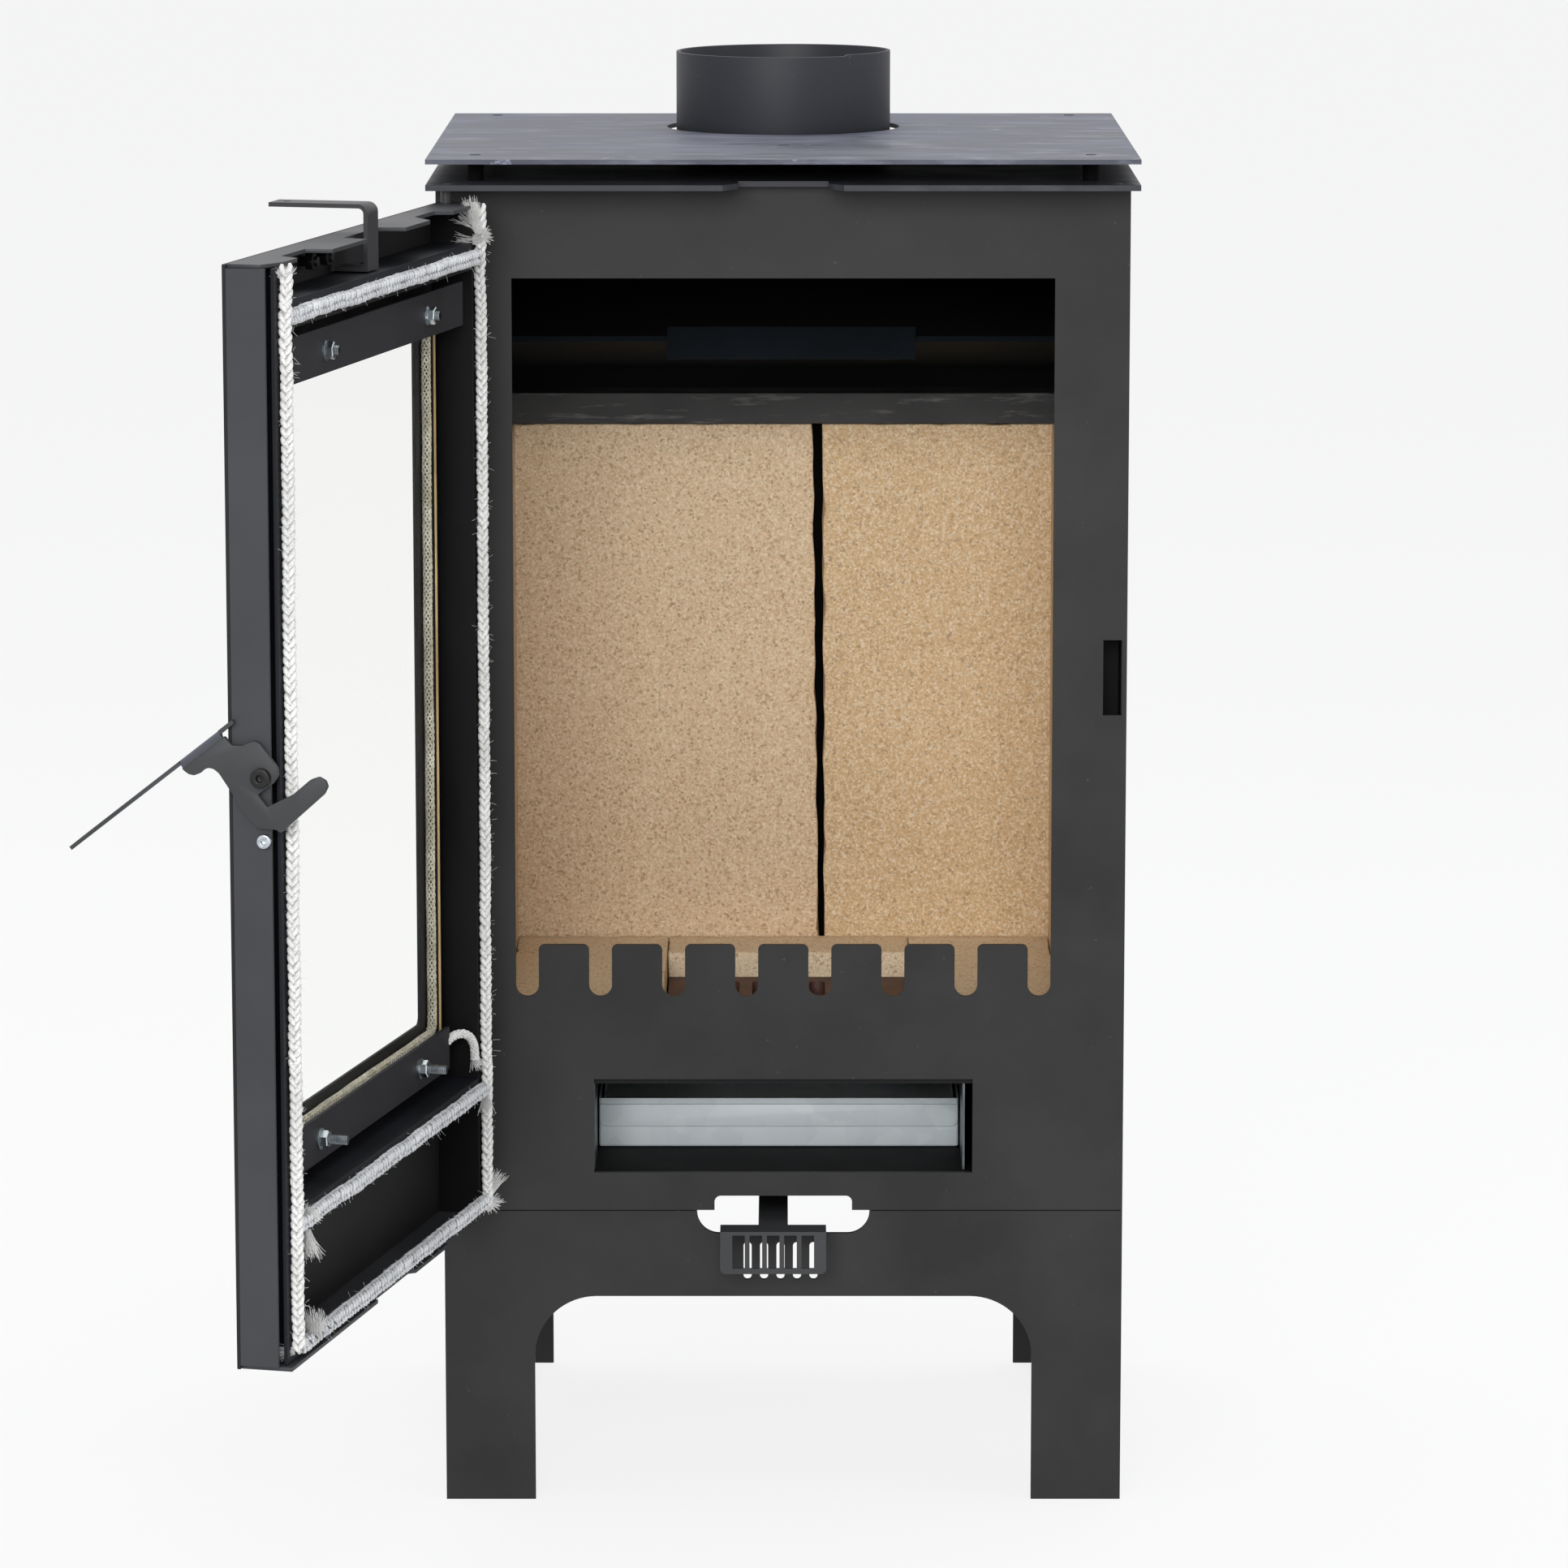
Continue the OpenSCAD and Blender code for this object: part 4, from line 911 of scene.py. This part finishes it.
fibres = []
for tuft in (
        ((13, 22, 700), (0, -0.35, 1), 0.20, 300, 18),      # fan over the hinge corner
        ((13, 22, 702), (0, -0.9, 0.9), 0.25, 160, 17),
        ((13, 22, 697), (0.1, -1, 0.05), 0.22, 200, 13),
        ((12, 23, 699), (0.3, 0.2, 0.1), 1.5, 260, 5),      # its knot
        ((339, 21.5, 708), (-0.2, -0.3, 1), 1.3, 260, 6),
        ((14, 22, 238), (0, 0.05, -1), 0.30, 90, 12),
        ((8, 22, 181), (0, 0.3, 1), 0.28, 130, 15),
        ((8, 22, 177), (-0.3, 0.3, -0.4), 1.2, 150, 7),
        ((322, 22, 241), (-0.5, 0.3, 0.6), 1.1, 150, 8),
        ((325, 22, 236), (0, 0.15, -1), 0.20, 130, 17),
        ((318, 23, 178), (0, 0.1, 1), 0.55, 200, 15),       # fan at the lower latch corner
        ((340, 20, 178), (0.3, -1, -0.1), 0.35, 80, 8),
        ((16.8, 17.2, 258), (0, 0.25, -1), 0.45, 70, 7)):   # loose end of the glass rope
    brush(*tuft)
frayed = curve_piece("rope_frayed_ends", fibres, 0.16*mm, rope_fibre)
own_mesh(frayed)        # a mesh of its own
dress(frayed, "seal_rope_hinge")

fuzz = []                          # stray fibres along the ropes
for node, ends in rope_runs.items():
    a, b = (on_door(u, rope_v, z) for u, z in ends)
    for _ in range(int((b - a).length/mm*0.6)):
        root = a.lerp(b, random.random())
        out = Vector([random.uniform(-1, 1) for _ in range(3)])
        out = (out - (b - a).normalized()*out.dot((b - a).normalized())*0.6).normalized()
        reach = random.uniform(3.9, 6.0)*mm
        curl = Vector([random.uniform(-1, 1) for _ in range(3)])*2*mm
        fuzz.append([root + out*3.4*mm, root + out*reach*0.8 + curl*0.4,
                     root + out*reach + curl])
stray = curve_piece("rope_stray_fibres", fuzz, 0.12*mm, rope_fibre)
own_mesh(stray)
dress(stray, "seal_rope_hinge")

# Dark stitches of 0.7 mm thread, laid over the yarns, hold the bottom rope's end
thread = plain("dark_sewing_thread", "#3b3c40", 0.8)
half_deep, half_tall = 3.75, 4.6
stitches = [[on_door(u + 0.25*t, plait_v + half_deep*math.cos(math.radians(angle)),
                     179 + half_tall*math.sin(math.radians(angle)))
             for t, angle in ((-4, 8), (0, 20), (4, 34))] for u in (291, 301, 311, 321, 330)]
dress(curve_piece("rope_stitches", stitches, 0.7*mm, thread, 1), "seal_rope_bottom")

# ---- Glass rope -----------------------------------------------------------------------------
# Thin glass fibre rope pressed between the front sheet and the glass, stained honey-grey by
# its glue. One cut end hangs out below the glass at the hinge side.
glass_rope_fibre, tree = new_material("glued_glass_fibre_rope")
points = object_points(tree)
coat = ramp(tree, cloud(tree, points, 12, detail=4), 0.35, 0.65, "#b8b19e", "#e0dacb")
threads = cloud(tree, points, 0.8, detail=3, rough=0.7)
coat = ramp(tree, threads, 0.52, 0.30, coat, "#6a6553")
bump = add(tree, "Bump", {"Strength": 0.5, "Distance": 0.0003}, {"Height": threads})
output(tree, add(tree, "BsdfPrincipled", {"Roughness": 0.8},
                 {"Base Color": coat, "Normal": bump.outputs[0]}))
left, right, bottom, top = 37.6, 308.4, 275, 662
ring_v, bend_r = -1.25, 6
ring = []
for u, z, start in ((right - bend_r, bottom + bend_r, -90), (right - bend_r, top - bend_r, 0),
                    (left + bend_r, top - bend_r, 90), (left + bend_r, bottom + bend_r, 180)):
    for i in range(7):
        angle = math.radians(start + 15*i)
        ring.append(on_door(u + bend_r*math.cos(angle), ring_v, z + bend_r*math.sin(angle)))
ring.append(ring[0])
rope, core = braid("glass_rope_braid", ring, 2.8*mm, 6, 22*mm, 1.05*mm, glass_rope_fibre,
                   wander=0.3*mm)
core.data.materials[0] = plain("glued_glass_fibre_core", "#35322a", 0.9)    # darker than its yarns
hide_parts("glass_rope")
dress(rope, "glass_rope")
dress(core, "glass_rope")

loose = [on_door(u, v, z) for u, v, z in (
    (34, 6.5, 269.5), (31, 7.5, 271), (28, 9, 272), (26, 10.5, 272.5), (24, 13, 272.5),
    (21.5, 15, 271), (19.5, 16.3, 268.5), (18, 17, 265), (17.2, 17.2, 261),
    (16.8, 17.2, 257))]
rope, core = braid("glass_rope_loose_end", loose, 2.7*mm, 6, 15*mm, 1.3*mm, rope_fibre)
dress(rope, "glass_rope")
dress(core, "glass_rope")

# ---- Airwash lever --------------------------------------------------------------------------
# A strip of 2.5 mm steel folded twice, from the shutter in the door up and out to the front.
soften("airwash_slide", 0.4,
       stove_paint("silicone_stove_paint_lever", "#2b2b2d", "#333336", gloss=0.46))

# ---- Latch ----------------------------------------------------------------------------------
# Handle and hook cut in one from 3 mm steel, the handle's blade folded over. It turns on a
# socket bolt, and a bright screw stops it. The fold's outer round carries a painted highlight.
latch_paint = stove_paint("silicone_stove_paint_latch", "#2f3032", "#3a3b3d", gloss=0.48)
tree = latch_paint.node_tree
body = tree.nodes["Principled BSDF"].inputs["Base Color"]
# painted highlight: the fold's outer round is blended to a paler blue-grey
fold_highlight_mask = add(tree, "Attribute", {"attribute_name": "fold_highlight"}).outputs["Fac"]
tree.links.new(ramp(tree, fold_highlight_mask, 0.0, 0.9, body.links[0].from_socket, "#4d4f59"), body)
latch_at = Vector((352.5, 12.2, 467))       # pivot: along the door, from its axis, height
plate_frame = door_frame @ Matrix.Translation(latch_at*mm) @ Matrix(
    ((0, 0, 1, 0), (1, 0, 0, 0), (0, 1, 0, 0), (0, 0, 0, 1)))
latch_outline = (
    (-19.3, 19.4), (-15.2, 15.1), (-10.0, 15.1), (-6.6, 16.7), (-3.5, 17.6),
    (-0.8, 16.1), (7.9, 4.6), (7.9, 0.9), (5.2, -3.0), (-2.3, -8.6), (2.2, -14.6),
    (15.7, -7.6), (24.6, 0), (28.6, 1.4), (32.0, -0.4), (33.1, -3.3), (31.3, -7.0),
    (26.6, -11.2), (17.1, -19.7), (9.0, -27.0), (6.9, -25.4), (-2.6, -25.1),
    (-11.4, -15.5), (-14.1, -10.3), (-22.0, 1.2), (-24.7, 3.2), (-27.4, 3.6),
    (-30.0, 2.4), (-31.8, 0.7), (-34.7, -0.4), (-37.4, 0.1), (-40.0, 1.9), (-40.8, 3.0))
bm = bmesh.new()
face = bm.faces.new([bm.verts.new((x*mm, y*mm, 0)) for x, y in latch_outline])
bmesh.ops.bevel(bm, geom=bm.verts[:], offset=1.1*mm, affect="VERTICES", segments=3,
                profile=0.5, material=-1, clamp_overlap=True)
up = bmesh.ops.extrude_face_region(bm, geom=bm.faces[:])
bmesh.ops.translate(bm, vec=(0, 0, 3*mm),
                    verts=[g for g in up["geom"] if isinstance(g, bmesh.types.BMVert)])
bmesh.ops.recalc_face_normals(bm, faces=bm.faces)
rims = [e for e in bm.edges if abs(e.verts[0].co.z - e.verts[1].co.z) < 1e-6]
bmesh.ops.bevel(bm, geom=rims, offset=0.3*mm, affect="EDGES", segments=2, profile=0.5,
                material=-1, clamp_overlap=True)

# The blade, 2 mm thick, starts with a narrow end and then leans about a line at fold_z. Where
# it joins the plate, the fold has an outer round of fold_r. In millimetres and degrees
narrow_end, fold_end, blade_end = 9.2, 35, 107
fold_r, fold_z, blade_lean = 4.3, -1.4, -4.4
blade_frame = Matrix.Translation((-15.1*mm, 27.6*mm, 0)) \
    @ Matrix.Rotation(math.radians(217.9), 4, "Z")
blade = bmesh.new()
fold_at = Matrix.Translation((0, 0, fold_z*mm))
for low, high, lean in (((0, 0, 0), (9, 2, 3), 0),
                        ((narrow_end, 0, -22), (fold_end, 2, fold_z), blade_lean),
                        ((narrow_end, 0, fold_z), (fold_end, 4.5, 3), 0),
                        ((fold_end, 0, -22), (blade_end, 2, 3), blade_lean)):
    bmesh.ops.create_cube(blade, size=1, matrix=fold_at
                          @ Matrix.Rotation(math.radians(lean), 4, "X") @ fold_at.inverted()
                          @ block(Vector(low)*mm, Vector(high)*mm))
outer_edge = [e for e in blade.edges if all(
    v.co.z > 2.9*mm and v.co.y < 0.1*mm
    and (narrow_end - 0.1)*mm < v.co.x < (fold_end + 0.1)*mm for v in e.verts)]
bmesh.ops.bevel(blade, geom=outer_edge, offset=fold_r*mm, affect="EDGES", segments=8,
                profile=0.5, material=-1)
inner_edge = [e for e in blade.edges
              if all(v.co.z < -1.3*mm and v.co.y > 4.4*mm for v in e.verts)]
bmesh.ops.bevel(blade, geom=inner_edge, offset=2.5*mm, affect="EDGES", segments=4,
                profile=0.1, material=-1)
bmesh.ops.transform(blade, verts=blade.verts, matrix=blade_frame)
held = bpy.data.meshes.new("blade")
blade.to_mesh(held)
blade.free()
bm.from_mesh(held)
bpy.data.meshes.remove(held)
bmesh.ops.transform(bm, verts=bm.verts, matrix=plate_frame)
handle = new_object("latch_handle_folded", bm, latch_paint)
fold_highlight = handle.data.attributes.new("fold_highlight", "FLOAT", "POINT")    # painted highlight: 1 on the fold's outer round
to_blade = (plate_frame @ blade_frame).inverted()
for v in handle.data.vertices:
    x, y, z = (to_blade @ v.co)/mm
    if narrow_end - 0.1 < x < fold_end + 0.1 and -1.35 < z and not (z > 2.9 and y < 2.5) \
            and math.hypot(y - fold_r, z - 3 + fold_r) > fold_r - 0.2:
        fold_highlight.data[v.index].value = max(0, 1 - y/4.4)
smooth(handle, 35)
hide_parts("latch_handle")
dress(handle, "latch_handle")
soften("latch_pivot_bolt", 0.4, bolt_paint)
soften("latch_stop_screw", 0.3, zinc_plate)
